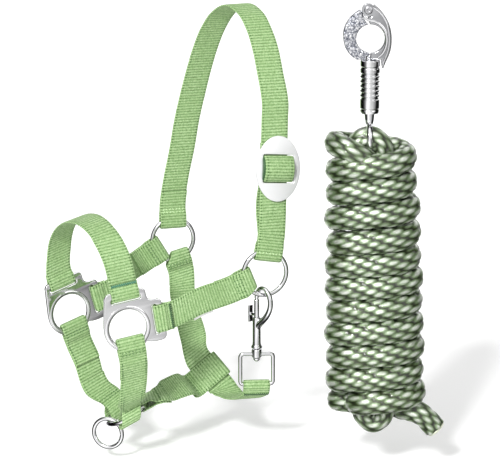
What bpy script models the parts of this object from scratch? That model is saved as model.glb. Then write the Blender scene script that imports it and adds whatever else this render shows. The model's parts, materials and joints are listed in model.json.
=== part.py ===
"""Webbing head halter with its lead rope: a crown strap over the poll, a noseband, cheek, chin and
throat straps in 25 mm webbing, two cheek plates, round rings, an oval crown slide, a swivel bolt
snap on the throat strap, and a wound lead rope with a quick release snap.

Frame: +Z up, the horse faces -Y, its left (near) side is +X.  The origin is on the inner face of
the crown strap, where it lies on the poll.  Design numbers are millimetres; MM turns them to metres.
"""
import math

import bpy
import bmesh
from mathutils import Matrix, Vector

MM = 0.001

# ---- driving dimensions, mm -------------------------------------------------------------------
WEB = 25.0            # webbing width
THICK = 1.8           # webbing thickness
LAY = 1.15            # half the distance between the middles of two sewn layers
GAP = 0.3             # running gap between pieces
RING_MEAN = 20.1      # round rings: mean radius and wire radius
WIRE = 2.0
LEAD_MEAN = 13.5      # small lead ring
PLATE_T = 3.0         # cheek plate thickness
HOLE_R = 16.8         # cheek plate hole
RIM_R = 21.5          # cheek plate rim
BAR_IN, BAR_OUT = 28.0, 33.5   # strap bar of a cheek plate, from the hole's centre
SLOT_IN = 24.0
SLIDE_W, SLIDE_H, SLIDE_T = 41.0, 58.5, 2.5
ROPE_D = 18.0         # lead rope diameter

# ---- places, mm ---------------------------------------------------------------------------------
NEAR_RING = Vector((72, -20, -230))
FAR_RING = Vector((-72, -24, -227))
NEAR_PLATE = Vector((45.5, -148, -266))
FAR_PLATE = Vector((-45.5, -153, -271.5))
CHIN_RING = Vector((0, -121.9, -360))
KEEPER = Vector((0, -31.6, -338))
SNAP_AXIS = Vector((64.7, -23.8, 0))      # the bolt snap's upright axis
SNAP_Z = -301.1                           # foot of the bolt snap's shank
EYE_DROP = 33.4                           # from there down to the square eye's bottom bar
SLIDE_AT = Vector((66.1, -6.9, -139.2))
HANK_AT = Vector((157.2, 35.5, 0))        # the lead rope's upright axis

Z = Vector((0, 0, 1))


def turn(deg):
    """Horizontal unit vector at this angle from +X towards +Y."""
    return Vector((math.cos(math.radians(deg)), math.sin(math.radians(deg)), 0))


def in_plane(e1, e2, deg):
    return e1 * math.cos(math.radians(deg)) + e2 * math.sin(math.radians(deg))


# side planes: e1 points to the rear, Z up, the outward normal of the near side is e1 x Z
E1 = turn(72.5)
E1_FAR = turn(85.0)                        # the far cheek plate stands a little more along the head
NEAR_U, NEAR_V = in_plane(E1, Z, 9), in_plane(E1, Z, 99)
FAR_U, FAR_V = in_plane(E1_FAR, Z, 16), in_plane(E1_FAR, Z, 106)
CHIN_A = Vector((0.415, 0.784, 0.457)).normalized()       # chin ring, towards the throat
CHIN_B = Vector((0.882, -0.470, 0.004)).normalized()      # chin ring, towards the near side
CHIN_B = (CHIN_B - CHIN_A * CHIN_B.dot(CHIN_A)).normalized()
CHIN_N = CHIN_B.cross(CHIN_A)
KEEP_T = Vector((0.514, 0.421, -0.748)).normalized()      # throat strap through its keeper
KEEP_D = Vector((0.320, 0.717, 0.622))
KEEP_D = (KEEP_D - KEEP_T * KEEP_D.dot(KEEP_T)).normalized()
SLIDE_AX = Vector((-0.131, 0.120, 0.984)).normalized()    # crown slide travel, upwards
HOOK_D = turn(10.0)                        # the snap's hook opens this way from its shank
EYE_X = turn(60.0)                         # width of the square eye

# ---- scene ----------------------------------------------------------------------------------------
for old in list(bpy.data.objects):
    bpy.data.objects.remove(old, do_unlink=True)
parts = bpy.data.collections.new("webbing_halter_and_lead")
cutters = bpy.data.collections.new("cutters")
bpy.context.scene.collection.children.link(parts)
bpy.context.scene.collection.children.link(cutters)


def material(name, color, roughness, metallic=0.0):
    m = bpy.data.materials.new(name)
    m.use_nodes = True
    p = m.node_tree.nodes["Principled BSDF"]
    p.inputs["Base Color"].default_value = (*color, 1)
    p.inputs["Roughness"].default_value = roughness
    p.inputs["Metallic"].default_value = metallic
    return m


WEBBING = material("green_webbing", (0.36, 0.60, 0.22), 0.8)
NICKEL = material("nickel_plate", (0.83, 0.83, 0.85), 0.2, 1.0)
STEEL = material("spring_steel", (0.5, 0.5, 0.52), 0.35, 1.0)
LABEL = material("white_tape", (0.9, 0.9, 0.9), 0.7)
ROPE = material("sage_rope", (0.30, 0.42, 0.27), 0.6)


def add(name, mesh, mat, origin=None):
    """A part from a mesh given in mm; its origin can sit on its joint."""
    mesh.transform(Matrix.Scale(MM, 4))
    obj = bpy.data.objects.new(name, mesh)
    if origin is not None:
        mesh.transform(Matrix.Translation(-origin * MM))
        obj.location = origin * MM
    mesh.materials.clear()
    mesh.materials.append(mat)
    parts.objects.link(obj)
    return obj


def frame(origin, x, y, z):
    m = Matrix((x, y, z)).transposed().to_4x4()
    m.translation = origin
    return m


# ---- webbing -------------------------------------------------------------------------------------
def spline(points, rules, step=1.0):
    """Catmull-Rom through the points, read at short steps; gives place(s), rule(s), along(s)."""
    pts = [p.copy() for p in points]
    pts = [pts[0] * 2 - pts[1]] + pts + [pts[-1] * 2 - pts[-2]]
    rul = [rules[0]] + list(rules) + [rules[-1]]
    place, rule = [], []
    for i in range(1, len(pts) - 2):
        a, b, c, d = pts[i - 1:i + 3]
        ra, rb, rc, rd = rul[i - 1:i + 3]
        n = max(2, int((c - b).length / step))
        # tangents scaled to this span keep uneven point spacing smooth
        tb = ((b - a) / max((b - a).length, 1e-6) + (c - b) / (c - b).length).normalized()
        tc = ((c - b) / (c - b).length + (d - c) / max((d - c).length, 1e-6)).normalized()
        span = (c - b).length
        for k in range(n):
            t = k / n
            h00, h10 = 2 * t**3 - 3 * t**2 + 1, t**3 - 2 * t**2 + t
            h01, h11 = -2 * t**3 + 3 * t**2, t**3 - t**2
            place.append(b * h00 + tb * (span * h10) + c * h01 + tc * (span * h11))
            w = t * t * (3 - 2 * t)
            rule.append((rb * (1 - w) + rc * w).normalized())
    place.append(pts[-2])
    rule.append(rul[-1])
    run = [0.0]
    for p, q in zip(place, place[1:]):
        run.append(run[-1] + (q - p).length)
    total = run[-1]

    def at(s):
        """Place, rule and direction at arc length s, straight on past both ends."""
        if s <= 0:
            t = (place[1] - place[0]).normalized()
            return place[0] + t * s, rule[0], t
        if s >= total:
            t = (place[-1] - place[-2]).normalized()
            return place[-1] + t * (s - total), rule[-1], t
        lo, hi = 0, len(run) - 1
        while hi - lo > 1:
            mid = (lo + hi) // 2
            if run[mid] <= s:
                lo = mid
            else:
                hi = mid
        f = (s - run[lo]) / (run[hi] - run[lo])
        k0, k1 = max(lo - 1, 0), min(hi + 1, len(place) - 1)
        t = (place[k1] - place[k0]).normalized()
        return place[lo].lerp(place[hi], f), rule[lo].lerp(rule[hi], f).normalized(), t

    return at, total


# A folded end: r and c are the radius and the middle of the turn, measured along the strap from
# its anchor; the pocket keeps its height as far as `far`, and the layers meet at `sewn`.
END = {
    "ring": dict(r=3.35, c=15.0, far=23.6, sewn=29.8),
    "bar": dict(r=2.8, c=0.2, far=6.2, sewn=9.5),
    "rim": dict(r=2.8, c=11.5, far=22.6, sewn=28.4),
    "wire": dict(r=6.1, c=0.0, far=3.0, sewn=12.0),
    "eye": dict(r=3.15, c=0.0, far=1.5, sewn=7.0),
    "keeper": dict(r=2.75, c=-11.9, far=13.6, sewn=18.5),
}


def ease(t):
    t = min(max(t, 0.0), 1.0)
    return t * t * (3 - 2 * t)


def fold(kind, side, flap, bow=0.0):
    """(distance, height) from the flap's cut end, round the bar, to where the main layer starts."""
    e = END[kind]
    out = []
    end = e["sewn"] + flap
    n = max(2, int(flap / 7))
    for k in range(n):
        d = end - flap * k / n
        lift = bow * math.sin(math.pi * min(1.0, (d - e["sewn"]) / 62.0)) ** 2 if d - e["sewn"] < 62 else 0.0
        out.append((d, -side * (LAY + lift)))
    for k in range(4):
        t = k / 4
        out.append((e["sewn"] + (e["far"] - e["sewn"]) * t, -side * (LAY + (e["r"] - LAY) * ease(t))))
    out.append((e["far"], -side * e["r"]))
    if e["far"] - e["c"] > 9:
        out.append(((e["far"] + e["c"]) / 2, -side * e["r"]))
    for k in range(9):
        a = math.pi * k / 8
        out.append((e["c"] - e["r"] * math.sin(a), -side * e["r"] * math.cos(a)))
    if e["far"] - e["c"] > 9:
        out.append(((e["far"] + e["c"]) / 2, side * e["r"]))
    for k in range(4):
        t = k / 4
        out.append((e["far"] + (e["sewn"] - e["far"]) * t, side * (e["r"] + (LAY - e["r"]) * ease(t))))
    out.append((e["sewn"], side * LAY))
    return out


def strap_path(total, a, b, pitch=6.0):
    """The whole strap in (s, height): flap, fold, main layer, fold, flap."""
    head = fold(*a)
    tail = [(total - d, h) for d, h in reversed(fold(*b))]
    s0, s1 = head[-1][0], tail[0][0]
    h0, h1 = head[-1][1], tail[0][1]
    lo = s0 + min(a[2], (s1 - s0) * 0.3)
    hi = s1 - min(b[2], (s1 - s0) * 0.3)
    n = max(2, int((s1 - s0) / pitch))
    main = []
    for k in range(1, n):
        s = s0 + (s1 - s0) * k / n
        main.append((s, h0 + (h1 - h0) * ease((s - lo) / max(hi - lo, 1e-6))))
    return head + main + tail


def strap(name, points, rules, a, b, half=None, pitch=6.0, mat=WEBBING):
    """A folded strap: rules of half length half(s) on both sides of its path, thickened."""
    at, total = spline(points, rules)
    path = strap_path(total, a, b, pitch)
    rows = []
    for s, h in path:
        c, w, t = at(s)
        n = w.cross(t).normalized()
        lo, hi = (WEB / 2, WEB / 2) if half is None else half(s, total)
        p = c + n * h
        rows.append((p - w * lo, p + w * hi))
    return ribbon(name, rows, THICK, mat)


def ribbon(name, rows, thick, mat):
    mesh = bpy.data.meshes.new(name)
    verts = [v for row in rows for v in row]
    n = len(rows[0])
    faces = []
    for i in range(len(rows) - 1):
        for j in range(n - 1):
            p = i * n + j
            faces.append((p, p + 1, p + n + 1, p + n))
    mesh.from_pydata([tuple(v) for v in verts], [], faces)
    obj = add(name, mesh, mat)
    m = obj.modifiers.new("thickness", "SOLIDIFY")
    m.thickness = thick * MM
    m.offset = 0.0
    m.use_even_offset = True
    return obj


def both(*triples):
    return [Vector(t) for t in triples]


# ---- straps --------------------------------------------------------------------------------------
def ring_lead_in(centre, direction, far=34.0):
    return [centre + direction * d for d in (0.0, 12.0, 24.0, far)]


# crown: from the far ring over the poll, down through the slide, round the near ring and back up
near_up = in_plane(E1, Z, 80)
crown_pts = (
    ring_lead_in(FAR_RING, Z)
    + both((-70.5, -20.5, -168), (-66.5, -16.5, -141), (-62, -13.5, -112), (-56, -11, -88), (-48.5, -8.8, -64),
           (-40, -6.8, -42), (-30, -4.6, -23), (-17, -1.8, -7.8), (0, 0.8, -0.2), (17, 2.8, -6.2), (29, 3.2, -18.5),
           (39, 2.9, -34), (48, 2.0, -55))
    + [SLIDE_AT + SLIDE_AX * d for d in (60.0, 47.0, 0.0, -50.0)]
    + list(reversed(ring_lead_in(NEAR_RING, near_up)))
)
top_rule = -turn(80)
crown_rules = [-E1] * 4 + [-turn(74)] * 4 + [-turn(76)] * 4 + [top_rule] * 3 + [-turn(76)] * 2 + [-E1] * 4 + [-in_plane(E1, Z, -10)] * 4
strap("crown_strap", crown_pts, crown_rules, ("ring", 1, 17.0), ("ring", 1, 88.0, 9.0), pitch=7.0)

# noseband: far cheek plate, over the nose, near cheek plate
far_bar = FAR_PLATE + FAR_V * BAR_IN + FAR_U * 0.5
near_bar = NEAR_PLATE + NEAR_V * BAR_IN + NEAR_U * 2.5
nose_pts = (
    [far_bar + FAR_V * d for d in (0.0, 7.0, 14.0)]
    + both((-45.8, -163.6, -214), (-41, -164, -199), (-32.5, -164.4, -187.6), (-19, -165, -178.6), (-3, -166, -173.4),
           (13, -165.6, -172.6), (27, -163, -178.6), (37.5, -160, -190.4), (43.5, -156.3, -205))
    + [near_bar + NEAR_V * d for d in (14.0, 7.0, 0.0)]
)
nose_top = Vector((0.02, -0.98, -0.19)).normalized()
nose_rules = [-FAR_U] * 3 + [-FAR_U] * 2 + [nose_top] * 5 + [-NEAR_U] * 2 + [-NEAR_U] * 3
strap("noseband", nose_pts, nose_rules, ("bar", -1, 3.4), ("bar", -1, 3.4), pitch=6.0)


def narrowed(end_lo, end_hi, at_start=True):
    """Half widths that shrink towards the ring, where the webbing crowds against its neighbour."""
    def half(s, total):
        d = s if at_start else total - s
        k = ease((d - 10.0) / 14.0)
        return end_lo + (WEB / 2 - end_lo) * k, end_hi + (WEB / 2 - end_hi) * k
    return half


near_dir = in_plane(E1, Z, 202)
near_cheek_end = NEAR_PLATE + NEAR_U * BAR_IN + NEAR_V * 2.0
near_cheek_pts = (
    ring_lead_in(NEAR_RING, near_dir, 33.0)
    + both((60.5, -80.5, -248.2))
    + [near_cheek_end + NEAR_U * d for d in (14.0, 7.0, 0.0)]
)
strap("near_cheek_strap", near_cheek_pts, [in_plane(E1, Z, 112)] * 4 + [in_plane(E1, Z, 106)] + [NEAR_V] * 3,
      ("ring", 1, 17.0), ("bar", -1, 3.4), half=narrowed(8.0, WEB / 2))

far_dir = in_plane(E1, Z, 211)
far_cheek_end = FAR_PLATE + FAR_U * BAR_IN + FAR_V * 2.0
far_cheek_pts = (
    ring_lead_in(FAR_RING, far_dir, 33.0)
    + both((-58.5, -86, -248.5))
    + [far_cheek_end + FAR_U * d for d in (14.0, 7.0, 0.0)]
)
strap("far_cheek_strap", far_cheek_pts, [-in_plane(E1, Z, 121)] * 4 + [-in_plane(E1_FAR, Z, 112)] + [-FAR_V] * 3,
      ("ring", 1, 17.0), ("bar", -1, 3.4))

# chin straps: round the lower rim of a cheek plate, doubled down to a loop round the chin ring
near_wire = CHIN_RING + in_plane(CHIN_A, CHIN_B, 86) * (RING_MEAN - 1.6)
far_wire = CHIN_RING + in_plane(CHIN_A, CHIN_B, 240) * (RING_MEAN - 1.6)
near_tan = -in_plane(CHIN_A, CHIN_B, 176)
far_tan = in_plane(CHIN_A, CHIN_B, 330)
near_chin_pts = (
    [NEAR_PLATE - NEAR_V * d for d in (0.0, 12.0, 22.0, 30.0)]
    + both((40.5, -139.5, -313), (31.5, -136, -337))
    + [near_wire + Vector((0.25, -0.03, 0.968)).normalized() * d for d in (11.0, 5.0, 0.0)]
)
strap("near_chin_strap", near_chin_pts, [NEAR_U] * 4 + [NEAR_U, (NEAR_U + near_tan).normalized()] + [near_tan] * 3,
      ("rim", -1, 22.0), ("wire", -1, 29.0), half=narrowed(9.8, 9.6, False))
far_chin_pts = (
    [FAR_PLATE - FAR_V * d for d in (0.0, 12.0, 22.0, 30.0)]
    + both((-40, -139.5, -317), (-30, -135.2, -341.5))
    + [far_wire + Vector((-0.42, -0.05, 0.906)).normalized() * d for d in (11.0, 5.0, 0.0)]
)
strap("far_chin_strap", far_chin_pts, [FAR_U] * 4 + [FAR_U, (FAR_U + far_tan).normalized()] + [far_tan] * 3,
      ("rim", 1, 22.0), ("wire", 1, 29.0), half=narrowed(10.6, 10.6, False))

# connector: from the chin ring back to the throat, where its end is sewn into a keeper
conn_pts = (
    ring_lead_in(CHIN_RING, CHIN_A, 31.0)
    + both((6.5, -80, -345.5), (2.5, -62, -344.5))
    + [KEEPER - KEEP_D * d for d in (20.0, 10.0, 0.0)]
)
half_way = (CHIN_B + KEEP_T).normalized()
strap("connector_strap", conn_pts,
      [CHIN_B] * 3 + [(CHIN_B * 3 + KEEP_T).normalized(), (CHIN_B + KEEP_T * 2).normalized(), (CHIN_B + KEEP_T * 6).normalized()] + [KEEP_T] * 3,
      ("ring", 1, 14.0), ("keeper", 1, 10.0))

# throat strap: far ring, through the keeper, up to the square eye of the snap
eye_bar = SNAP_AXIS + Z * (SNAP_Z - EYE_DROP)
throat_dir = in_plane(E1, Z, 284)
throat_pts = (
    ring_lead_in(FAR_RING, throat_dir, 33.0)
    + both((-58, -23, -278.7), (-40, -28.5, -296.3), (-22, -34.5, -310))
    + [KEEPER + KEEP_D.cross(KEEP_T) * LAY + KEEP_T * d for d in (-17.0, -8.0, 6.0, 15.0)]
    + both((14.5, -23.6, -354.2), (25, -22.8, -357.2), (40, -23, -355.6), (54, -23.4, -351), (62.5, -23.7, -345.0))
    + [eye_bar - Z * 4.5, eye_bar]
)


def throat_half(s, total):
    """Crowded at the far ring, and a little narrow between the corners of the square eye."""
    lo, hi = narrowed(4.6, 11.5)(s, total)
    return (lo, hi) if total - s > 14 else (12.0, 12.0)


throat_rules = ([in_plane(E1, Z, 14)] * 4 + [turn(74), turn(72), (turn(70) + KEEP_D).normalized()] + [KEEP_D] * 4
                + [(turn(70) + KEEP_D * 0.5).normalized(), turn(74), turn(72), turn(66), turn(62), EYE_X, EYE_X])
strap("throat_strap", throat_pts, throat_rules, ("ring", -1, 13.0), ("eye", -1, 3.0),
      half=throat_half)

# woven tag, sewn under the near cheek strap
tag_at, tag_total = spline(near_cheek_pts, [in_plane(E1, Z, 112)] * 4 + [in_plane(E1, Z, 106)] + [NEAR_V] * 3)
rows = []
for k in range(7):
    c, w, t = tag_at(56.0 + 3.2 * k)
    n = w.cross(t).normalized()
    rows.append((c - n * 2.7 - w * 15.4, c - n * 2.7 - w * 4.0))
ribbon("woven_tag", rows, 0.5, LABEL)


# ---- rings and plates ----------------------------------------------------------------------------
def torus(name, centre, normal, mean, wire, major=40, minor=8):
    bpy.ops.mesh.primitive_torus_add(major_radius=mean * MM, minor_radius=wire * MM, major_segments=major, minor_segments=minor)
    obj = bpy.context.object
    for c in list(obj.users_collection):
        c.objects.unlink(obj)
    parts.objects.link(obj)
    obj.name = obj.data.name = name
    obj.rotation_euler = normal.to_track_quat("Z", "Y").to_euler()
    obj.location = centre * MM
    obj.data.materials.append(NICKEL)
    obj.data.shade_smooth()
    return obj


SIDE_N = E1.cross(Z)
torus("near_ring", NEAR_RING, SIDE_N, RING_MEAN, WIRE)
torus("far_ring", FAR_RING, SIDE_N, RING_MEAN, WIRE)
torus("chin_ring", CHIN_RING, CHIN_N, RING_MEAN, WIRE)
LEAD_HOLD = CHIN_RING + in_plane(CHIN_A, CHIN_B, 172) * RING_MEAN
LEAD_AT = LEAD_HOLD - Z * (LEAD_MEAN - 2 * WIRE - GAP)
lead_ring = torus("lead_ring", LEAD_AT, turn(-52), LEAD_MEAN, WIRE, 32, 8)


def outline(name, loops, thick, matrix, mat, round_edge=0.0):
    """A flat piece from closed outlines in mm: the first is its edge, the others its holes."""
    cu = bpy.data.curves.new(name, "CURVE")
    cu.dimensions = "2D"
    cu.fill_mode = "BOTH"
    cu.extrude = thick / 2 * MM
    for loop in loops:
        sp = cu.splines.new("POLY")
        sp.points.add(len(loop) - 1)
        sp.use_cyclic_u = True
        for p, (x, y) in zip(sp.points, loop):
            p.co = (x * MM, y * MM, 0, 1)
    tmp = bpy.data.objects.new(name + "_outline", cu)
    parts.objects.link(tmp)
    bpy.context.view_layer.update()
    mesh = bpy.data.meshes.new_from_object(tmp.evaluated_get(bpy.context.evaluated_depsgraph_get()))
    bpy.data.objects.remove(tmp, do_unlink=True)
    bm = bmesh.new()
    bm.from_mesh(mesh)
    bmesh.ops.remove_doubles(bm, verts=bm.verts, dist=0.00001)
    bmesh.ops.recalc_face_normals(bm, faces=bm.faces)
    bm.to_mesh(mesh)
    bm.free()
    obj = bpy.data.objects.new(name, mesh)
    mesh.name = name
    mesh.materials.clear()
    mesh.materials.append(mat)
    m = matrix.copy()
    m.translation = matrix.translation * MM
    obj.matrix_world = m
    parts.objects.link(obj)
    return obj


def arc(cx, cy, r, a0, a1, n):
    return [(cx + r * math.cos(math.radians(a0 + (a1 - a0) * k / n)), cy + r * math.sin(math.radians(a0 + (a1 - a0) * k / n)))
            for k in range(n + 1)]


def slot(x0, x1, y0, y1, r=1.5):
    out = []
    for cx, cy, a in ((x1 - r, y1 - r, 0), (x0 + r, y1 - r, 90), (x0 + r, y0 + r, 180), (x1 - r, y0 + r, 270)):
        out += arc(cx, cy, r, a, a + 90, 2)
    return out


def plate_loops():
    edge = []
    edge += arc(0, 0, RIM_R, 176, 312, 16)                       # rim round the front and the bottom
    edge += [(18.5, -17.0), (24.0, -17.8)]
    edge += arc(28.5, -12.8, 5.0, 270, 360, 4)                   # rear tab
    edge += arc(28.5, 15.5, 5.0, 0, 90, 4)
    edge += [(24.6, 21.0), (22.0, 22.2), (20.8, 25.0)]           # notch between the tabs
    edge += arc(15.8, 28.5, 5.0, 0, 90, 4)                       # top tab
    edge += arc(-12.0, 28.5, 5.0, 90, 180, 4)
    edge += [(-18.2, 22.0), (-20.0, 12.0)]
    hole = arc(0, 0, HOLE_R, 0, 350, 35)
    top = slot(-11.0, 16.0, SLOT_IN, BAR_IN)
    rear = slot(SLOT_IN, BAR_IN, -11.5, 15.5)
    return [edge, hole, top, rear]


def far_loops():
    """The far plate's slots sit square to its hole."""
    edge, hole, _, rear = plate_loops()
    return [edge, hole, slot(-13.0, 14.0, SLOT_IN, BAR_IN), rear]


outline("near_plate", plate_loops(), PLATE_T, frame(NEAR_PLATE, NEAR_U, NEAR_V, NEAR_U.cross(NEAR_V)), NICKEL)
outline("far_plate", far_loops(), PLATE_T, frame(FAR_PLATE, FAR_U, FAR_V, FAR_U.cross(FAR_V)), NICKEL)

# ---- crown slide ---------------------------------------------------------------------------------
SL_Y = SLIDE_AX
SL_X = (E1 - SL_Y * E1.dot(SL_Y)).normalized()
SL_Z = SL_X.cross(SL_Y)
STRAP_FACE = LAY + THICK / 2                                     # outer face of the crown strap
slide_mid = SLIDE_AT + SL_X * 3.2 + SL_Y * 1.8 + SL_Z * (STRAP_FACE + 0.4 + SLIDE_T / 2)
oval = [(SLIDE_W / 2 * math.cos(2 * math.pi * k / 48), SLIDE_H / 2 * math.sin(2 * math.pi * k / 48)) for k in range(48)]
outline("crown_slide", [oval, slot(-14.3, 14.3, 4.5, 12.6, 1.4), slot(-14.3, 14.3, -12.6, -4.5, 1.4)], SLIDE_T,
        frame(slide_mid, SL_X, SL_Y, SL_Z), NICKEL)
# the strap's passage over the slide's middle bar, which travels with the slide
rows = []
for k in range(15):
    a = math.radians(-68 + 136 * k / 14)
    y, h = 11.2 * math.sin(a) / math.sin(math.radians(68)), STRAP_FACE + 1.6 + 6.4 * (math.cos(a) - math.cos(math.radians(68))) / (1 - math.cos(math.radians(68)))
    c = SLIDE_AT + SL_X * 3.2 + SL_Y * (y + 1.8) + SL_Z * h
    rows.append((c - SL_X * 12.5, c + SL_X * 12.5))
ribbon("slide_strap_hump", rows, THICK, WEBBING)


# ---- tubes and turned pieces ---------------------------------------------------------------------
def tube_mesh(points, radii, cyclic=False, res=2):
    cu = bpy.data.curves.new("tube", "CURVE")
    cu.dimensions = "3D"
    cu.bevel_depth = MM
    cu.bevel_resolution = res
    cu.use_fill_caps = True
    sp = cu.splines.new("POLY")
    sp.points.add(len(points) - 1)
    sp.use_cyclic_u = cyclic
    for p, co, r in zip(sp.points, points, radii):
        p.co = (*(co * MM), 1)
        p.radius = r
    tmp = bpy.data.objects.new("tube", cu)
    parts.objects.link(tmp)
    bpy.context.view_layer.update()
    mesh = bpy.data.meshes.new_from_object(tmp.evaluated_get(bpy.context.evaluated_depsgraph_get()))
    bpy.data.objects.remove(tmp, do_unlink=True)
    bm = bmesh.new()
    bm.from_mesh(mesh)
    bmesh.ops.remove_doubles(bm, verts=bm.verts, dist=0.00002)
    bmesh.ops.recalc_face_normals(bm, faces=bm.faces)
    bm.to_mesh(mesh)
    bm.free()
    return mesh


def place(name, mesh, mat, collection=parts):
    obj = bpy.data.objects.new(name, mesh)
    mesh.name = name
    mesh.materials.clear()
    mesh.materials.append(mat)
    collection.objects.link(obj)
    return obj


def tube(name, points, radii, mat, cyclic=False, res=2, collection=parts):
    if isinstance(radii, (int, float)):
        radii = [radii] * len(points)
    return place(name, tube_mesh(points, radii, cyclic, res), mat, collection)


def turned_mesh(profile, seg=24):
    """A profile of (radius, height) in mm spun round its own upright axis, closed on the axis."""
    bm = bmesh.new()
    ring = [bm.verts.new((r * MM, 0, h * MM)) for r, h in profile]
    edges = [bm.edges.new((a, b)) for a, b in zip(ring, ring[1:])]
    bmesh.ops.spin(bm, geom=ring + edges, cent=(0, 0, 0), axis=(0, 0, 1), angle=2 * math.pi, steps=seg, use_duplicate=False)
    bmesh.ops.remove_doubles(bm, verts=bm.verts, dist=0.00002)
    bmesh.ops.recalc_face_normals(bm, faces=bm.faces)
    mesh = bpy.data.meshes.new("turned")
    bm.to_mesh(mesh)
    bm.free()
    return mesh


def turned(name, profile, at, axis, mat, seg=24, collection=parts):
    obj = place(name, turned_mesh(profile, seg), mat, collection)
    m = axis.to_track_quat("Z", "Y").to_matrix().to_4x4()
    m.translation = at * MM
    obj.matrix_world = m
    return obj


def boxed(name, size, matrix, mat, collection=parts):
    bpy.ops.mesh.primitive_cube_add(size=1)
    obj = bpy.context.object
    for c in list(obj.users_collection):
        c.objects.unlink(obj)
    collection.objects.link(obj)
    obj.name = obj.data.name = name
    obj.data.transform(Matrix.Diagonal((size[0] * MM, size[1] * MM, size[2] * MM, 1)))
    obj.data.materials.append(mat)
    m = matrix.copy()
    m.translation = matrix.translation * MM
    obj.matrix_world = m
    return obj


def combine(obj, other, how):
    """Union with, or cut by, another object, which is kept as a guide only."""
    for c in list(other.users_collection):
        c.objects.unlink(other)
    cutters.objects.link(other)
    other.hide_render = True
    other.display_type = "WIRE"
    m = obj.modifiers.new(how.lower(), "BOOLEAN")
    m.operation = how
    m.solver = "EXACT"
    m.object = other
    return obj


def cylinder(r, h0, h1, chamfer=0.0):
    if chamfer:
        return [(0, h0), (r - chamfer, h0), (r, h0 + chamfer), (r, h1 - chamfer), (r - chamfer, h1), (0, h1)]
    return [(0, h0), (r, h0), (r, h1), (0, h1)]


# ---- bolt snap on the throat strap ---------------------------------------------------------------
foot = SNAP_AXIS + Z * SNAP_Z
hook_uv = [(-0.1, 47.0), (0.2, 50.0), (1.4, 53.2), (4.0, 56.0), (7.2, 57.4), (10.6, 56.9), (13.8, 54.4), (16.2, 50.4), (17.2, 45.4),
           (16.6, 40.4), (14.4, 35.4), (10.9, 30.6), (6.6, 26.4), (2.8, 22.8), (0.2, 19.0)]
hook_r = [1.9, 2.1, 2.2, 2.3, 2.35, 2.4, 2.45, 2.5, 2.5, 2.55, 2.6, 2.8, 3.0, 3.2, 3.2]
snap = tube("snap_body", [foot + HOOK_D * u + Z * v for u, v in hook_uv], hook_r, NICKEL)
combine(snap, turned("snap_barrel", [(0, 0.4), (4.6, 0.4), (5.0, 1.2), (5.0, 2.6), (4.0, 3.6), (3.8, 5.0), (3.8, 28.4), (3.2, 29.4), (0, 29.4)],
                     foot, Z, NICKEL), "UNION")
combine(snap, turned("bolt_bore", cylinder(2.75, 9.0, 33.0), foot, Z, NICKEL, 20), "DIFFERENCE")
combine(snap, turned("rivet_bore", cylinder(1.75, -1.0, 7.0), foot, Z, NICKEL, 16), "DIFFERENCE")
combine(snap, boxed("tab_slot", (6.0, 2.8, 18.0), frame(foot - HOOK_D * 4.2 + Z * 24.6, HOOK_D, Z.cross(HOOK_D), Z), NICKEL), "DIFFERENCE")
bolt = turned("snap_bolt", [(0, 22.4), (2.2, 22.4), (2.35, 22.8), (2.35, 45.0), (1.7, 46.5), (0, 46.5)], foot, Z, NICKEL, 16)
combine(bolt, boxed("tab_stem", (6.2, 2.0, 2.6), frame(foot - HOOK_D * 4.6 + Z * 31.4, HOOK_D, Z.cross(HOOK_D), Z), NICKEL), "UNION")
combine(bolt, boxed("tab_plate", (1.6, 5.2, 15.4), frame(foot - HOOK_D * 8.0 + Z * 31.4, HOOK_D, Z.cross(HOOK_D), Z), NICKEL), "UNION")


def coil(name, at, mean, wire, h0, h1, turns, mat, per_turn=10):
    pts = []
    for k in range(int(turns * per_turn) + 1):
        a = 2 * math.pi * k / per_turn
        pts.append(at + Vector((mean * math.cos(a), mean * math.sin(a), h0 + (h1 - h0) * k / (turns * per_turn))))
    return tube(name, pts, wire, mat, res=1)


coil("snap_bolt_spring", foot, 1.95, 0.35, 9.8, 21.6, 6, STEEL)
turned("snap_swivel_rivet", [(0, 6.4), (1.45, 6.4), (1.45, -8.6), (3.4, -8.6), (3.2, -10.4), (1.8, -11.8), (0, -12.0)], foot, Z, NICKEL, 16)

# square eye: a rounded square of wire with a boss for the rivet
top_bar, bottom_bar, half_w, corner = -5.0, -EYE_DROP, 14.8, 3.0
loop = []
for cx, cy, a in ((half_w - corner, top_bar - corner, 0), (-half_w + corner, top_bar - corner, 90),
                  (-half_w + corner, bottom_bar + corner, 180), (half_w - corner, bottom_bar + corner, 270)):
    loop += [foot + EYE_X * x + Z * y for x, y in arc(cx, cy, corner, a, a + 90, 3)]
eye = tube("square_eye", loop, 1.9, NICKEL, cyclic=True)
combine(eye, turned("eye_boss", [(0, -8.0), (4.3, -8.0), (4.6, -7.4), (4.6, -1.2), (4.2, -0.2), (0, -0.2)], foot, Z, NICKEL), "UNION")
combine(eye, turned("eye_bore", cylinder(1.8, -12.0, 4.0), foot, Z, NICKEL, 16), "DIFFERENCE")

# ---- lead rope ------------------------------------------------------------------------------------
R_X = turn(55.0)                          # across the hank
R_N = turn(-35.0)                         # out of its face
HANK_TOP, HANK_BOTTOM = -116.5, -366.0
HANK_W, HANK_D = 90.0, 54.0
SNAP_U = -5.0                             # the snap's axis, beside the hank's


def beside(u, v, w=0.0):
    """A point beside the hank's axis: across, up, out of its face."""
    return HANK_AT + R_X * u + Z * v + R_N * w


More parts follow.
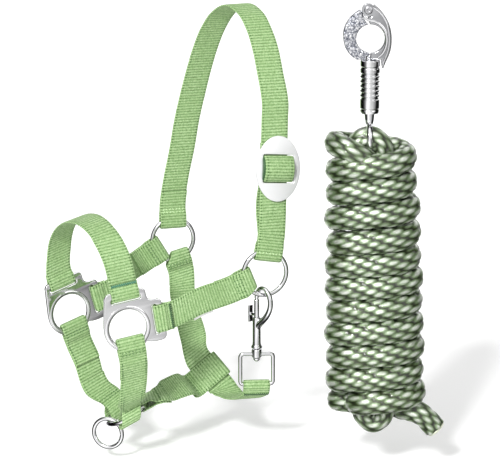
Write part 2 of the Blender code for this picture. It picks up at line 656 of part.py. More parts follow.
end_r = HANK_D / 2
hank_top_view = arc(HANK_W / 2 - end_r, 0, end_r, -90, 90, 8) + arc(-HANK_W / 2 + end_r, 0, end_r, 90, 270, 8)
rope_hank = outline("lead_rope_hank", [hank_top_view], HANK_TOP - HANK_BOTTOM,
                    frame(beside(0, (HANK_TOP + HANK_BOTTOM) / 2), R_X, Z.cross(R_X), Z), ROPE)
combine(rope_hank, boxed("tail_room", (31.0, 80.0, 42.0), frame(beside(45.0, -354.0), R_X, Z.cross(R_X), Z), ROPE), "DIFFERENCE")

ARCH_R, ARCH_Z = 12.2, -112.2
arch = [beside(SNAP_U + ARCH_R, HANK_TOP + GAP)]
arch += [beside(SNAP_U + ARCH_R * math.cos(math.pi * k / 16), ARCH_Z + ARCH_R * math.sin(math.pi * k / 16)) for k in range(17)]
arch.append(beside(SNAP_U - ARCH_R, HANK_TOP + GAP))
tube("lead_rope_eye", arch, ROPE_D / 2, ROPE, res=3)
tail_at, tail_total = spline([beside(u, v) for u, v in ((31, -345), (36, -345.5), (42, -348), (48, -352.5), (53, -358), (57, -362.5))], [R_N] * 6)
tube("lead_rope_tail", [tail_at(tail_total * k / 8)[0] for k in range(9)], ROPE_D / 2, ROPE, res=3)

# ---- quick release snap ---------------------------------------------------------------------------
HOLE_Z = -13.4                            # middle of its hole
STEM_END = -70.0                          # lower end of the body's stem
SHANK_TOP = STEM_END - GAP
SLEEVE_TOP, SLEEVE_STEP, SLEEVE_END = -31.8, -52.0, -78.0
BORE = 12.1
SNAP_T = 7.0
PIVOT = (-2.1, 24.5)


def on_axis(name, profile, seg=24):
    return turned(name, profile, beside(SNAP_U, 0), Z, NICKEL, seg)


# swivel eye: a ring round the rope, seen on edge, under a headed stem
RING_Z, RING_R, RING_WIRE = -100.1, 12.2, 2.6
eye_loop = [beside(SNAP_U, RING_Z + RING_R * math.cos(2 * math.pi * k / 28), RING_R * math.sin(2 * math.pi * k / 28)) for k in range(28)]
swivel = tube("panic_swivel_eye", eye_loop, RING_WIRE, NICKEL, cyclic=True)
combine(swivel, on_axis("swivel_stem", [(0, -88.9), (2.4, -88.9), (4.0, -86.0), (4.7, -74.0), (4.6, SHANK_TOP), (1.8, SHANK_TOP), (1.8, -64.0),
                                        (3.4, -64.0), (3.4, -60.1), (2.9, -59.5), (0, -59.5)]), "UNION")


def face(w):
    """Flat pieces are drawn across and up from the middle of the hole, w in front of the middle plane."""
    return frame(beside(SNAP_U, HOLE_Z, w), R_X, Z, R_N)


pivot_at = beside(SNAP_U + PIVOT[0], HOLE_Z + PIVOT[1])
LAP = SNAP_T / 2 - 0.2                    # each half of the lap joint at the pivot
body_edge = [(-0.4, -18.0), (-11.5, -18.0), (-17.0, -14.0), (-21.8, -6.5), (-23.4, 3.5), (-21.4, 12.0), (-16.3, 19.3), (-9.6, 24.6), (-7.9, 23.0),
             (-6.2, 17.8), (-3.4, 13.6)]
body_edge += arc(0, 0, BORE, 100, 262, 14) + [(-0.4, -13.5)]
body = outline("panic_body", [body_edge], SNAP_T, face(0), NICKEL)
ear = outline("body_ear", [arc(PIVOT[0], PIVOT[1], 5.4, -110, 190, 14) + [(-9.4, 22.4), (-6.6, 17.6)]], LAP, face(-0.15 - LAP / 2), NICKEL)
combine(body, ear, "UNION")
combine(body, on_axis("body_stem", [(0, STEM_END), (6.9, STEM_END), (6.9, -67.0), (5.2, -67.0), (5.2, HOLE_Z - 14.2), (0, HOLE_Z - 14.2)]), "UNION")
combine(body, on_axis("stem_cavity", [(0, STEM_END - 0.5), (2.1, STEM_END - 0.5), (2.1, -64.3), (3.7, -64.3), (3.7, -59.0), (0, -59.0)]), "DIFFERENCE")
combine(body, boxed("lip_room", (9.3, 16.0, 6.2), frame(beside(SNAP_U + 4.35, HOLE_Z - 15.1), R_X, Z.cross(R_X), Z), NICKEL), "DIFFERENCE")
combine(body, turned("pivot_bore", cylinder(2.3, -6, 6), pivot_at, R_N, NICKEL, 16), "DIFFERENCE")

jaw_edge = [(0.1, -17.9), (9.3, -17.9), (9.4, -21.0), (10.2, -25.4), (11.2, -25.6), (13.4, -20.0), (16.6, -12.5), (18.0, -5.0), (17.8, 4.5),
            (15.4, 13.5), (10.8, 21.3), (6.4, 26.3), (2.6, 28.8)]
jaw_edge += arc(PIVOT[0], PIVOT[1], 5.9, 42, -95, 8) + [(-1.6, 14.5)] + arc(0, 0, BORE, 92, -89, 16) + [(0.1, -13.6)]
jaw = outline("panic_jaw", [jaw_edge], SNAP_T, face(0), NICKEL)
boss = outline("jaw_boss", [arc(PIVOT[0], PIVOT[1], 5.4, 60, 300, 12) + [(3.4, 19.5), (5.5, 25.5)]], LAP, face(0.15 + LAP / 2), NICKEL)
combine(jaw, boss, "UNION")
combine(jaw, turned("jaw_bore", cylinder(2.3, -6, 6), pivot_at, R_N, NICKEL, 16), "DIFFERENCE")
turned("panic_pivot_rivet", [(0, -4.9), (2.6, -4.9), (3.6, -4.3), (3.6, -3.8), (2.0, -3.8), (2.0, 3.8), (3.6, 3.8), (3.6, 4.3), (2.6, 4.9), (0, 4.9)],
       pivot_at, R_N, NICKEL, 16)

on_axis("panic_sleeve", [(5.5, SLEEVE_TOP), (7.9, SLEEVE_TOP), (8.6, SLEEVE_TOP - 0.8), (8.6, SLEEVE_END + 4.0), (7.9, SLEEVE_END),
                         (7.2, SLEEVE_END), (7.2, SLEEVE_STEP), (5.5, SLEEVE_STEP), (5.5, SLEEVE_TOP)])
coil("panic_sleeve_spring", beside(SNAP_U, 0), 6.2, 0.45, -66.3, -52.7, 4, STEEL, per_turn=14)

# ---- origins: a moving piece turns or slides about its own joint -----------------------------------
JOINT_AT = {"snap_body": foot, "snap_swivel_rivet": foot, "snap_bolt": foot, "snap_bolt_spring": foot + Z * 9.5,
            "panic_jaw": pivot_at, "panic_body": beside(SNAP_U, STEM_END), "panic_sleeve": beside(SNAP_U, SLEEVE_END),
            "panic_sleeve_spring": beside(SNAP_U, -66.8), "panic_swivel_eye": beside(SNAP_U, RING_Z), "lead_rope_eye": beside(SNAP_U, ARCH_Z),
            "lead_rope_tail": beside(31, -345), "slide_strap_hump": SLIDE_AT, "crown_slide": SLIDE_AT, "lead_ring": LEAD_HOLD}
bpy.context.view_layer.update()
for name, at in JOINT_AT.items():
    obj = bpy.data.objects[name]
    old = obj.matrix_world.copy()
    new = old.copy()
    new.translation = at * MM
    obj.data.transform(new.inverted() @ old)
    obj.matrix_world = new

# hard pieces are shaded smooth, with crisp edges kept
for obj in parts.objects:
    if obj.type == "MESH" and not obj.name.endswith(("strap", "hump", "tag", "noseband")):
        obj.data.shade_smooth()
        obj.data.set_sharp_from_angle(angle=math.radians(35))
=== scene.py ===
"""Looks of the webbing halter and its lead rope, built round the fixed frame.

The straps are rebuilt in ribbed webbing on the same paths as the frame's plain straps, with their
stitching; the hardware is rebuilt with rounded edges; the lead rope is one length of braided rope
wound into its hank.  Design numbers are millimetres, MM turns them to metres.
"""
import json
import math

import bpy
import bmesh
import numpy as np
from mathutils import Matrix, Vector


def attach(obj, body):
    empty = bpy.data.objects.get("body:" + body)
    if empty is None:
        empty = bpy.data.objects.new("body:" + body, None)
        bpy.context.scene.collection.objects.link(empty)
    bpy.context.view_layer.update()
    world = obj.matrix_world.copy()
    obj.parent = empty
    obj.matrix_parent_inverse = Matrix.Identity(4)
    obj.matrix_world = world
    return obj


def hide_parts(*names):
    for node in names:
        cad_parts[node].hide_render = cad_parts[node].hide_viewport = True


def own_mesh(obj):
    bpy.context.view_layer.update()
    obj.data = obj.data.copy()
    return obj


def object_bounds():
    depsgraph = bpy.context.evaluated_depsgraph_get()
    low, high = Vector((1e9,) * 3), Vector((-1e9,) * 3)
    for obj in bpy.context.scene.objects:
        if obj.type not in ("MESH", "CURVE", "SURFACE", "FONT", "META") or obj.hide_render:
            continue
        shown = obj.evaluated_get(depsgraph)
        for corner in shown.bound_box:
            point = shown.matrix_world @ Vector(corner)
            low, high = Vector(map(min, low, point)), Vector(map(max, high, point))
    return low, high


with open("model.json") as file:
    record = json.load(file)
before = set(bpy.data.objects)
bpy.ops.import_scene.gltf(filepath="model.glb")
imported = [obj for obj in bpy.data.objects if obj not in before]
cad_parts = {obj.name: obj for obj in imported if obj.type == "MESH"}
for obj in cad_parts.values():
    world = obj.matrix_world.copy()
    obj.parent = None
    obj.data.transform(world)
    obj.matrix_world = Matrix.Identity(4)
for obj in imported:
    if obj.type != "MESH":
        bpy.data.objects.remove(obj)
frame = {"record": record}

CAD_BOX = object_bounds()
MM = 0.001
NODE_BODY = {node: body for body, nodes in frame["record"]["behaviour"]["bodies"].items() for node in nodes}

# ---- camera ---------------------------------------------------------------------------------------
target = Vector((0.044, -0.0166, -0.2001))
away = Vector((0.796, -0.558, 0.233)).normalized()
cam_data = bpy.data.cameras.new("camera")
cam_data.lens = 160
cam_data.sensor_width = 36
cam_data.clip_end = 50
cam = bpy.data.objects.new("camera", cam_data)
cam.location = target + away * 2.0
cam.rotation_euler = (-away).to_track_quat("-Z", "Y").to_euler()
bpy.context.scene.collection.objects.link(cam)
bpy.context.scene.camera = cam

looks = bpy.data.collections.new("looks")
bpy.context.scene.collection.children.link(looks)


def claim(obj, *nodes):
    """The piece rides with the body of these nodes and stands for them; the nodes are hidden."""
    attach(obj, NODE_BODY[nodes[0]])
    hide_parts(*nodes)
    return obj


def companion(obj, node):
    """A detail that rides with a node and stands for none."""
    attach(obj, NODE_BODY[node])
    return obj


# ---- materials -------------------------------------------------------------------------------------
class Nodes:
    """Short hand for building a node tree."""

    def __init__(self, name):
        self.mat = bpy.data.materials.new(name)
        self.mat.use_nodes = True
        self.tree = self.mat.node_tree
        self.out = self.tree.nodes["Principled BSDF"]

    def new(self, kind, **inputs):
        n = self.tree.nodes.new(kind)
        for k, v in inputs.items():
            if k.startswith("_"):
                setattr(n, k[1:], v)
            else:
                self.link(v, n.inputs[k.replace("__", " ")])
        return n

    def link(self, v, socket):
        if isinstance(v, bpy.types.NodeSocket):
            self.tree.links.new(v, socket)
        else:
            socket.default_value = v

    def math(self, op, a, b=0.0, c=0.0):
        n = self.tree.nodes.new("ShaderNodeMath")
        n.operation = op
        for s, v in zip(n.inputs, (a, b, c)):
            self.link(v, s)
        return n.outputs[0]

    def ramp(self, fac, *stops):
        n = self.tree.nodes.new("ShaderNodeValToRGB")
        el = n.color_ramp.elements
        while len(el) < len(stops):
            el.new(0.5)
        for e, (p, c) in zip(el, stops):
            e.position = p
            e.color = (*c, 1) if len(c) == 3 else c
        self.link(fac, n.inputs[0])
        return n.outputs[0]

    def mix(self, fac, a, b, blend="MIX"):
        n = self.tree.nodes.new("ShaderNodeMix")
        n.data_type = "RGBA"
        n.blend_type = blend
        self.link(fac, n.inputs[0])
        self.link(a if isinstance(a, bpy.types.NodeSocket) else (*a, 1), n.inputs[6])
        self.link(b if isinstance(b, bpy.types.NodeSocket) else (*b, 1), n.inputs[7])
        return n.outputs[2]

    def noise(self, scale, detail=2.0, vector=None, rough=0.5):
        n = self.tree.nodes.new("ShaderNodeTexNoise")
        n.inputs["Scale"].default_value = scale
        n.inputs["Detail"].default_value = detail
        n.inputs["Roughness"].default_value = rough
        if vector is not None:
            self.tree.links.new(vector, n.inputs["Vector"])
        return n.outputs["Fac"]

    def bump(self, height, strength, distance):
        n = self.tree.nodes.new("ShaderNodeBump")
        n.inputs["Strength"].default_value = strength
        n.inputs["Distance"].default_value = distance
        self.tree.links.new(height, n.inputs["Height"])
        self.tree.links.new(n.outputs[0], self.out.inputs["Normal"])
        return n

    def set(self, **inputs):
        for k, v in inputs.items():
            self.link(v, self.out.inputs[k.replace("__", " ")])
        return self.mat


def srgb(r, g, b):
    return tuple(((c / 255 + 0.055) / 1.055) ** 2.4 if c > 10 else c / 255 / 12.92 for c in (r, g, b))


RIB = 2.68                                 # rib pitch, mm


def webbing_material():
    """Ribbed nylon webbing: u runs across and v along the strap, both in centimetres."""
    n = Nodes("ribbed_webbing")
    uv = n.new("ShaderNodeUVMap", _uv_map="weave")
    xyz = n.new("ShaderNodeSeparateXYZ", Vector=uv.outputs[0])
    u, v = n.math("MULTIPLY", xyz.outputs[0], 10.0), n.math("MULTIPLY", xyz.outputs[1], 10.0)
    rib = n.math("DIVIDE", v, RIB)
    row = n.math("FLOOR", rib)
    f = n.math("FRACT", rib)
    ridge = n.math("SUBTRACT", 1.0, n.math("POWER", n.math("ABSOLUTE", n.math("MULTIPLY_ADD", f, 2.0, -1.0)), 2.2))
    # warp threads crossing each rib, half a thread out of step from rib to rib
    thread = n.math("FRACT", n.math("ADD", n.math("DIVIDE", u, 1.05), n.math("MULTIPLY", row, 0.5)))
    bead = n.math("SUBTRACT", 1.0, n.math("POWER", n.math("ABSOLUTE", n.math("MULTIPLY_ADD", thread, 2.0, -1.0)), 2.0))
    coord = n.new("ShaderNodeTexCoord").outputs["Object"]
    speck = n.noise(1500.0, 2.0, coord, 0.6)
    broad = n.noise(38.0, 3.0, coord)
    fleck = n.noise(640.0, 2.0, coord, 0.7)
    # lighter on the rib ridges and thread crowns and darker in the valleys: painted highlight and painted shade, with
    # random specks and flecks added
    tone = n.math("ADD", n.math("MULTIPLY", ridge, 0.50), n.math("MULTIPLY", bead, 0.20))
    tone = n.math("ADD", tone, n.math("MULTIPLY_ADD", speck, 0.60, -0.22))
    tone = n.math("ADD", tone, n.math("MULTIPLY_ADD", fleck, 1.10, -0.55))
    # a row of small dark spots near the selvage, in the rib valleys: painted shade in the gaps where the ribs tie into
    # the selvage
    off = n.math("ABSOLUTE", u)
    hole = n.math("MULTIPLY", n.math("LESS_THAN", n.math("ABSOLUTE", n.math("SUBTRACT", off, 10.9)), 0.62), n.math("SUBTRACT", 1.0, n.math("POWER", ridge, 1.6)))
    tone = n.math("SUBTRACT", tone, n.math("MULTIPLY", hole, 0.62))
    # the ramp turns the tone into colour, dark in the valleys and gaps and pale on the ridges: painted shade and
    # painted highlight
    colour = n.ramp(tone, (0.0, srgb(62, 92, 44)), (0.28, srgb(102, 134, 80)), (0.60, srgb(142, 173, 118)), (1.0, srgb(188, 212, 164)))
    worn = n.mix(n.math("MULTIPLY_ADD", broad, 0.9, -0.30), colour, srgb(124, 158, 98))
    n.bump(n.math("ADD", n.math("MULTIPLY", n.math("MULTIPLY", bead, ridge), 0.9), n.math("MULTIPLY", speck, 0.8)), 0.7, 0.00026)
    m = n.set(Base__Color=worn, Roughness=0.62, Specular__IOR__Level=0.35, Sheen__Weight=0.16, Sheen__Roughness=0.4)
    n.out.inputs["Sheen Tint"].default_value = (0.92, 1.0, 0.86, 1)
    return m


def thread_material(name, dark, light):
    n = Nodes(name)
    coord = n.new("ShaderNodeTexCoord").outputs["Object"]
    grain = n.noise(2600.0, 2.0, coord)
    n.bump(grain, 0.5, 0.0001)
    return n.set(Base__Color=n.ramp(grain, (0.35, dark), (0.65, light)), Roughness=0.5, Sheen__Weight=0.2)


def metal_material(name, base, rough, streak=0.0, wear=0.0):
    n = Nodes(name)
    coord = n.new("ShaderNodeTexCoord").outputs["Object"]
    broad = n.noise(60.0, 3.0, coord)
    fine = n.noise(900.0, 2.0, coord)
    r = n.math("ADD", n.math("MULTIPLY_ADD", broad, 0.10, rough - 0.05), n.math("MULTIPLY_ADD", fine, 0.08, -0.04))
    dull = tuple(c * 0.82 for c in base)
    col = n.ramp(broad, (0.3, dull if wear else base), (0.62, base))
    n.bump(n.math("ADD", n.math("MULTIPLY", broad, 0.6), n.math("MULTIPLY", fine, 0.12)), 0.25 + streak, 0.00012)
    return n.set(Base__Color=col, Metallic=1.0, Roughness=r)


def rope_material():
    """Silky braided rope: u round and v along the rope, height of the lozenges in an attribute; the colour follows
    that height, with painted shade near black in the gaps and a painted highlight near white on the crests.
    """
    n = Nodes("braided_rope")
    high = n.new("ShaderNodeAttribute", _attribute_name="crest").outputs["Fac"]
    uv = n.new("ShaderNodeUVMap", _uv_map="weave")
    xyz = n.new("ShaderNodeSeparateXYZ", Vector=uv.outputs[0])
    # fibres run along each lozenge: fine streaks stretched along v
    stretch = n.new("ShaderNodeCombineXYZ", X=n.math("MULTIPLY", xyz.outputs[0], 34.0), Y=n.math("MULTIPLY", xyz.outputs[1], 2.2))
    fibre = n.noise(1.0, 3.0, stretch.outputs[0], 0.6)
    coord = n.new("ShaderNodeTexCoord").outputs["Object"]
    broad = n.noise(38.0, 2.0, coord)
    tone = n.math("ADD", n.math("MULTIPLY", high, 0.84), n.math("MULTIPLY_ADD", fibre, 0.50, -0.22))
    # near-black painted shade in the gaps between the lozenges, near-white painted highlight on their crests
    colour = n.ramp(tone, (0.0, srgb(6, 9, 1)), (0.30, srgb(8, 12, 2)), (0.50, srgb(44, 58, 22)), (0.72, srgb(122, 144, 106)), (0.93, srgb(248, 251, 243)))
    colour = n.mix(n.math("MULTIPLY_ADD", broad, 1.1, -0.50), colour, srgb(62, 76, 26), "MIX")
    n.bump(fibre, 0.8, 0.0004)
    around = n.new("ShaderNodeTangent", _direction_type="UV_MAP", _uv_map="weave")
    m = n.set(Base__Color=colour, Roughness=0.33, Specular__IOR__Level=0.9, Metallic=n.math("MULTIPLY", high, 0.62), Anisotropic=0.82,
              Tangent=around.outputs[0], Sheen__Weight=0.15, Sheen__Roughness=0.3, Coat__Weight=0.6, Coat__Roughness=0.10)
    return m


def mottled_material():
    """Cast face, hammered: bumps from the blotches, and the same blotches painted into its colour from near black to
    near white as painted reflections.
    """
    n = Nodes("mottled_cast_nickel")
    coord = n.new("ShaderNodeTexCoord").outputs["Object"]
    blotch = n.noise(620.0, 3.0, coord, 0.62)
    broad = n.noise(90.0, 2.0, coord)
    n.bump(blotch, 0.9, 0.0007)
    # dark and bright blotches in the colour: painted reflections of the hammered face
    col = n.ramp(blotch, (0.36, (0.10, 0.11, 0.14)), (0.50, (0.40, 0.41, 0.45)), (0.64, (0.92, 0.92, 0.93)))
    return n.set(Base__Color=col, Metallic=1.0, Roughness=n.math("MULTIPLY_ADD", broad, 0.18, 0.16))


WEBBING = webbing_material()
THREAD = thread_material("green_thread", srgb(46, 84, 34), srgb(92, 134, 70))
THREAD_PALE = thread_material("pale_thread", srgb(170, 206, 140), srgb(222, 242, 200))
THREAD_TEAL = thread_material("teal_thread", srgb(20, 84, 70), srgb(66, 140, 112))
# dark green thread for the bar tacks, also used as the painted shade block under the slide's hump
THREAD_DARK_AND_SHADE = thread_material("dark_thread_and_shade", srgb(14, 44, 18), srgb(60, 108, 56))
NICKEL = metal_material("polished_nickel", (0.86, 0.86, 0.875), 0.09)
CAST = metal_material("cast_nickel", (0.93, 0.93, 0.94), 0.09, 0.02)
SATIN = metal_material("satin_nickel", (0.83, 0.83, 0.84), 0.42, 0.0)
SATIN.node_tree.nodes["Principled BSDF"].inputs["Metallic"].default_value = 0.5
# a darker copy of the polished nickel for the jaw: painted shade and dark reflections; its dull blotches are random
# tone
DARK_NICKEL = metal_material("jaw_shade_nickel", (0.46, 0.465, 0.48), 0.12, 0.15, 1.0)
# a lighter copy of the polished nickel for the sleeve: painted light
SLEEVE_NICKEL = metal_material("sleeve_nickel", (0.90, 0.90, 0.91), 0.10)
MOTTLED = mottled_material()
STEEL = metal_material("spring_wire", (0.55, 0.55, 0.57), 0.25)
ROPE = rope_material()
LABEL = thread_material("white_tape", (0.75, 0.75, 0.74), (0.93, 0.93, 0.92))
EDGE = None


# ---- driving dimensions, mm -------------------------------------------------------------------
WEB = 25.0            # webbing width
THICK = 1.8           # webbing thickness
LAY = 1.15            # half the distance between the middles of two sewn layers
GAP = 0.3             # running gap between pieces
RING_MEAN = 20.1      # round rings: mean radius and wire radius
WIRE = 2.0
LEAD_MEAN = 13.5      # small lead ring
PLATE_T = 3.0         # cheek plate thickness
HOLE_R = 16.8         # cheek plate hole
RIM_R = 21.5          # cheek plate rim
BAR_IN, BAR_OUT = 28.0, 33.5   # strap bar of a cheek plate, from the hole's centre
SLOT_IN = 24.0
SLIDE_W, SLIDE_H, SLIDE_T = 41.0, 58.5, 2.5
ROPE_D = 18.0         # lead rope diameter

# ---- places, mm ---------------------------------------------------------------------------------
NEAR_RING = Vector((72, -20, -230))
FAR_RING = Vector((-72, -24, -227))
NEAR_PLATE = Vector((45.5, -148, -266))
FAR_PLATE = Vector((-45.5, -153, -271.5))
CHIN_RING = Vector((0, -121.9, -360))
KEEPER = Vector((0, -31.6, -338))
SNAP_AXIS = Vector((64.7, -23.8, 0))      # the bolt snap's upright axis
SNAP_Z = -301.1                           # foot of the bolt snap's shank
EYE_DROP = 33.4                           # from there down to the square eye's bottom bar
SLIDE_AT = Vector((66.1, -6.9, -139.2))
HANK_AT = Vector((157.2, 35.5, 0))        # the lead rope's upright axis

Z = Vector((0, 0, 1))


def turn(deg):
    """Horizontal unit vector at this angle from +X towards +Y."""
    return Vector((math.cos(math.radians(deg)), math.sin(math.radians(deg)), 0))


def in_plane(e1, e2, deg):
    return e1 * math.cos(math.radians(deg)) + e2 * math.sin(math.radians(deg))


# side planes: e1 points to the rear, Z up, the outward normal of the near side is e1 x Z
E1 = turn(72.5)
E1_FAR = turn(85.0)                        # the far cheek plate stands a little more along the head
NEAR_U, NEAR_V = in_plane(E1, Z, 9), in_plane(E1, Z, 99)
FAR_U, FAR_V = in_plane(E1_FAR, Z, 16), in_plane(E1_FAR, Z, 106)
CHIN_A = Vector((0.415, 0.784, 0.457)).normalized()       # chin ring, towards the throat
CHIN_B = Vector((0.882, -0.470, 0.004)).normalized()      # chin ring, towards the near side
CHIN_B = (CHIN_B - CHIN_A * CHIN_B.dot(CHIN_A)).normalized()
CHIN_N = CHIN_B.cross(CHIN_A)
KEEP_T = Vector((0.514, 0.421, -0.748)).normalized()      # throat strap through its keeper
KEEP_D = Vector((0.320, 0.717, 0.622))
KEEP_D = (KEEP_D - KEEP_T * KEEP_D.dot(KEEP_T)).normalized()
SLIDE_AX = Vector((-0.131, 0.120, 0.984)).normalized()    # crown slide travel, upwards
HOOK_D = turn(10.0)                        # the snap's hook opens this way from its shank
EYE_X = turn(60.0)                         # width of the square eye

# ---- webbing -------------------------------------------------------------------------------------
def spline(points, rules, step=1.0):
    """Catmull-Rom through the points, read at short steps; gives place(s), rule(s), along(s)."""
    pts = [p.copy() for p in points]
    pts = [pts[0] * 2 - pts[1]] + pts + [pts[-1] * 2 - pts[-2]]
    rul = [rules[0]] + list(rules) + [rules[-1]]
    place, rule = [], []
    for i in range(1, len(pts) - 2):
        a, b, c, d = pts[i - 1:i + 3]
        ra, rb, rc, rd = rul[i - 1:i + 3]
        n = max(2, int((c - b).length / step))
        # tangents scaled to this span keep uneven point spacing smooth
        tb = ((b - a) / max((b - a).length, 1e-6) + (c - b) / (c - b).length).normalized()
        tc = ((c - b) / (c - b).length + (d - c) / max((d - c).length, 1e-6)).normalized()
        span = (c - b).length
        for k in range(n):
            t = k / n
            h00, h10 = 2 * t**3 - 3 * t**2 + 1, t**3 - 2 * t**2 + t
            h01, h11 = -2 * t**3 + 3 * t**2, t**3 - t**2
            place.append(b * h00 + tb * (span * h10) + c * h01 + tc * (span * h11))
            w = t * t * (3 - 2 * t)
            rule.append((rb * (1 - w) + rc * w).normalized())
    place.append(pts[-2])
    rule.append(rul[-1])
    run = [0.0]
    for p, q in zip(place, place[1:]):
        run.append(run[-1] + (q - p).length)
    total = run[-1]

    def at(s):
        """Place, rule and direction at arc length s, straight on past both ends."""
        if s <= 0:
            t = (place[1] - place[0]).normalized()
            return place[0] + t * s, rule[0], t
        if s >= total:
            t = (place[-1] - place[-2]).normalized()
            return place[-1] + t * (s - total), rule[-1], t
        lo, hi = 0, len(run) - 1
        while hi - lo > 1:
            mid = (lo + hi) // 2
            if run[mid] <= s:
                lo = mid
            else:
                hi = mid
        f = (s - run[lo]) / (run[hi] - run[lo])
        k0, k1 = max(lo - 1, 0), min(hi + 1, len(place) - 1)
        t = (place[k1] - place[k0]).normalized()
        return place[lo].lerp(place[hi], f), rule[lo].lerp(rule[hi], f).normalized(), t

    return at, total


# A folded end: r and c are the radius and the middle of the turn, measured along the strap from
# its anchor; the pocket keeps its height as far as `far`, and the layers meet at `sewn`.
END = {
    "ring": dict(r=3.35, c=15.0, far=23.6, sewn=29.8),
    "bar": dict(r=2.8, c=0.2, far=6.2, sewn=9.5),
    "rim": dict(r=2.8, c=11.5, far=22.6, sewn=28.4),
    "wire": dict(r=6.1, c=0.0, far=3.0, sewn=12.0),
    "eye": dict(r=3.15, c=0.0, far=1.5, sewn=7.0),
    "keeper": dict(r=2.75, c=-11.9, far=13.6, sewn=18.5),
}


def ease(t):
    t = min(max(t, 0.0), 1.0)
    return t * t * (3 - 2 * t)


def fold(kind, side, flap, bow=0.0):
    """(distance, height) from the flap's cut end, round the bar, to where the main layer starts."""
    e = END[kind]
    out = []
    end = e["sewn"] + flap
    n = max(2, int(flap / 7))
    for k in range(n):
        d = end - flap * k / n
        lift = bow * math.sin(math.pi * min(1.0, (d - e["sewn"]) / 62.0)) ** 2 if d - e["sewn"] < 62 else 0.0
        out.append((d, -side * (LAY + lift)))
    for k in range(4):
        t = k / 4
        out.append((e["sewn"] + (e["far"] - e["sewn"]) * t, -side * (LAY + (e["r"] - LAY) * ease(t))))
    out.append((e["far"], -side * e["r"]))
    if e["far"] - e["c"] > 9:
        out.append(((e["far"] + e["c"]) / 2, -side * e["r"]))
    for k in range(9):
        a = math.pi * k / 8
        out.append((e["c"] - e["r"] * math.sin(a), -side * e["r"] * math.cos(a)))
    if e["far"] - e["c"] > 9:
        out.append(((e["far"] + e["c"]) / 2, side * e["r"]))
    for k in range(4):
        t = k / 4
        out.append((e["far"] + (e["sewn"] - e["far"]) * t, side * (e["r"] + (LAY - e["r"]) * ease(t))))
    out.append((e["sewn"], side * LAY))
    return out



# ---- fine webbing ----------------------------------------------------------------------------------
def smooth_path(total, a, b, pitch=1.2):
    """The strap in (s, height): flap, fold, main layer, fold, flap, read at short steps."""
    def fine_fold(kind, side, flap, bow=0.0):
        e = END[kind]
        out = []
        end = e["sewn"] + flap
        n = max(2, int(flap / pitch))
        for k in range(n):
            d = end - flap * k / n
            lift = bow * math.sin(math.pi * min(1.0, (d - e["sewn"]) / 62.0)) ** 2 if d - e["sewn"] < 62 else 0.0
            out.append((d, -side * (LAY + lift)))
        n = max(4, int(abs(e["sewn"] - e["far"]) / 0.7))
        for k in range(n):
            t = k / n
            out.append((e["sewn"] + (e["far"] - e["sewn"]) * t, -side * (LAY + (e["r"] - LAY) * ease(t))))
        flat = e["far"] - e["c"]
        n = max(1, int(flat / 1.0))
        for k in range(n):
            out.append((e["far"] - flat * k / n, -side * e["r"]))
        for k in range(21):
            t = math.pi * k / 20
            out.append((e["c"] - e["r"] * math.sin(t), -side * e["r"] * math.cos(t)))
        for k in range(1, n + 1):
            out.append((e["c"] + flat * k / n, side * e["r"]))
        n = max(4, int(abs(e["sewn"] - e["far"]) / 0.7))
        for k in range(1, n + 1):
            t = k / n
            out.append((e["far"] + (e["sewn"] - e["far"]) * t, side * (e["r"] + (LAY - e["r"]) * ease(t))))
        return out

    head = fine_fold(*a)
    tail = [(total - d, h) for d, h in reversed(fine_fold(*b))]
    s0, s1, h0, h1 = head[-1][0], tail[0][0], head[-1][1], tail[0][1]
    lo, hi = s0 + min(a[2], (s1 - s0) * 0.3), s1 - min(b[2], (s1 - s0) * 0.3)
    n = max(2, int((s1 - s0) / pitch))
    main = [(s0 + (s1 - s0) * k / n, h0 + (h1 - h0) * ease((s0 + (s1 - s0) * k / n - lo) / max(hi - lo, 1e-6))) for k in range(1, n)]
    return head + main + tail


ACROSS = [-1.0, -0.985, -0.95, -0.88, -0.72, -0.48, -0.24, 0.0, 0.24, 0.48, 0.72, 0.88, 0.95, 0.985, 1.0]
PER_RIB = 6


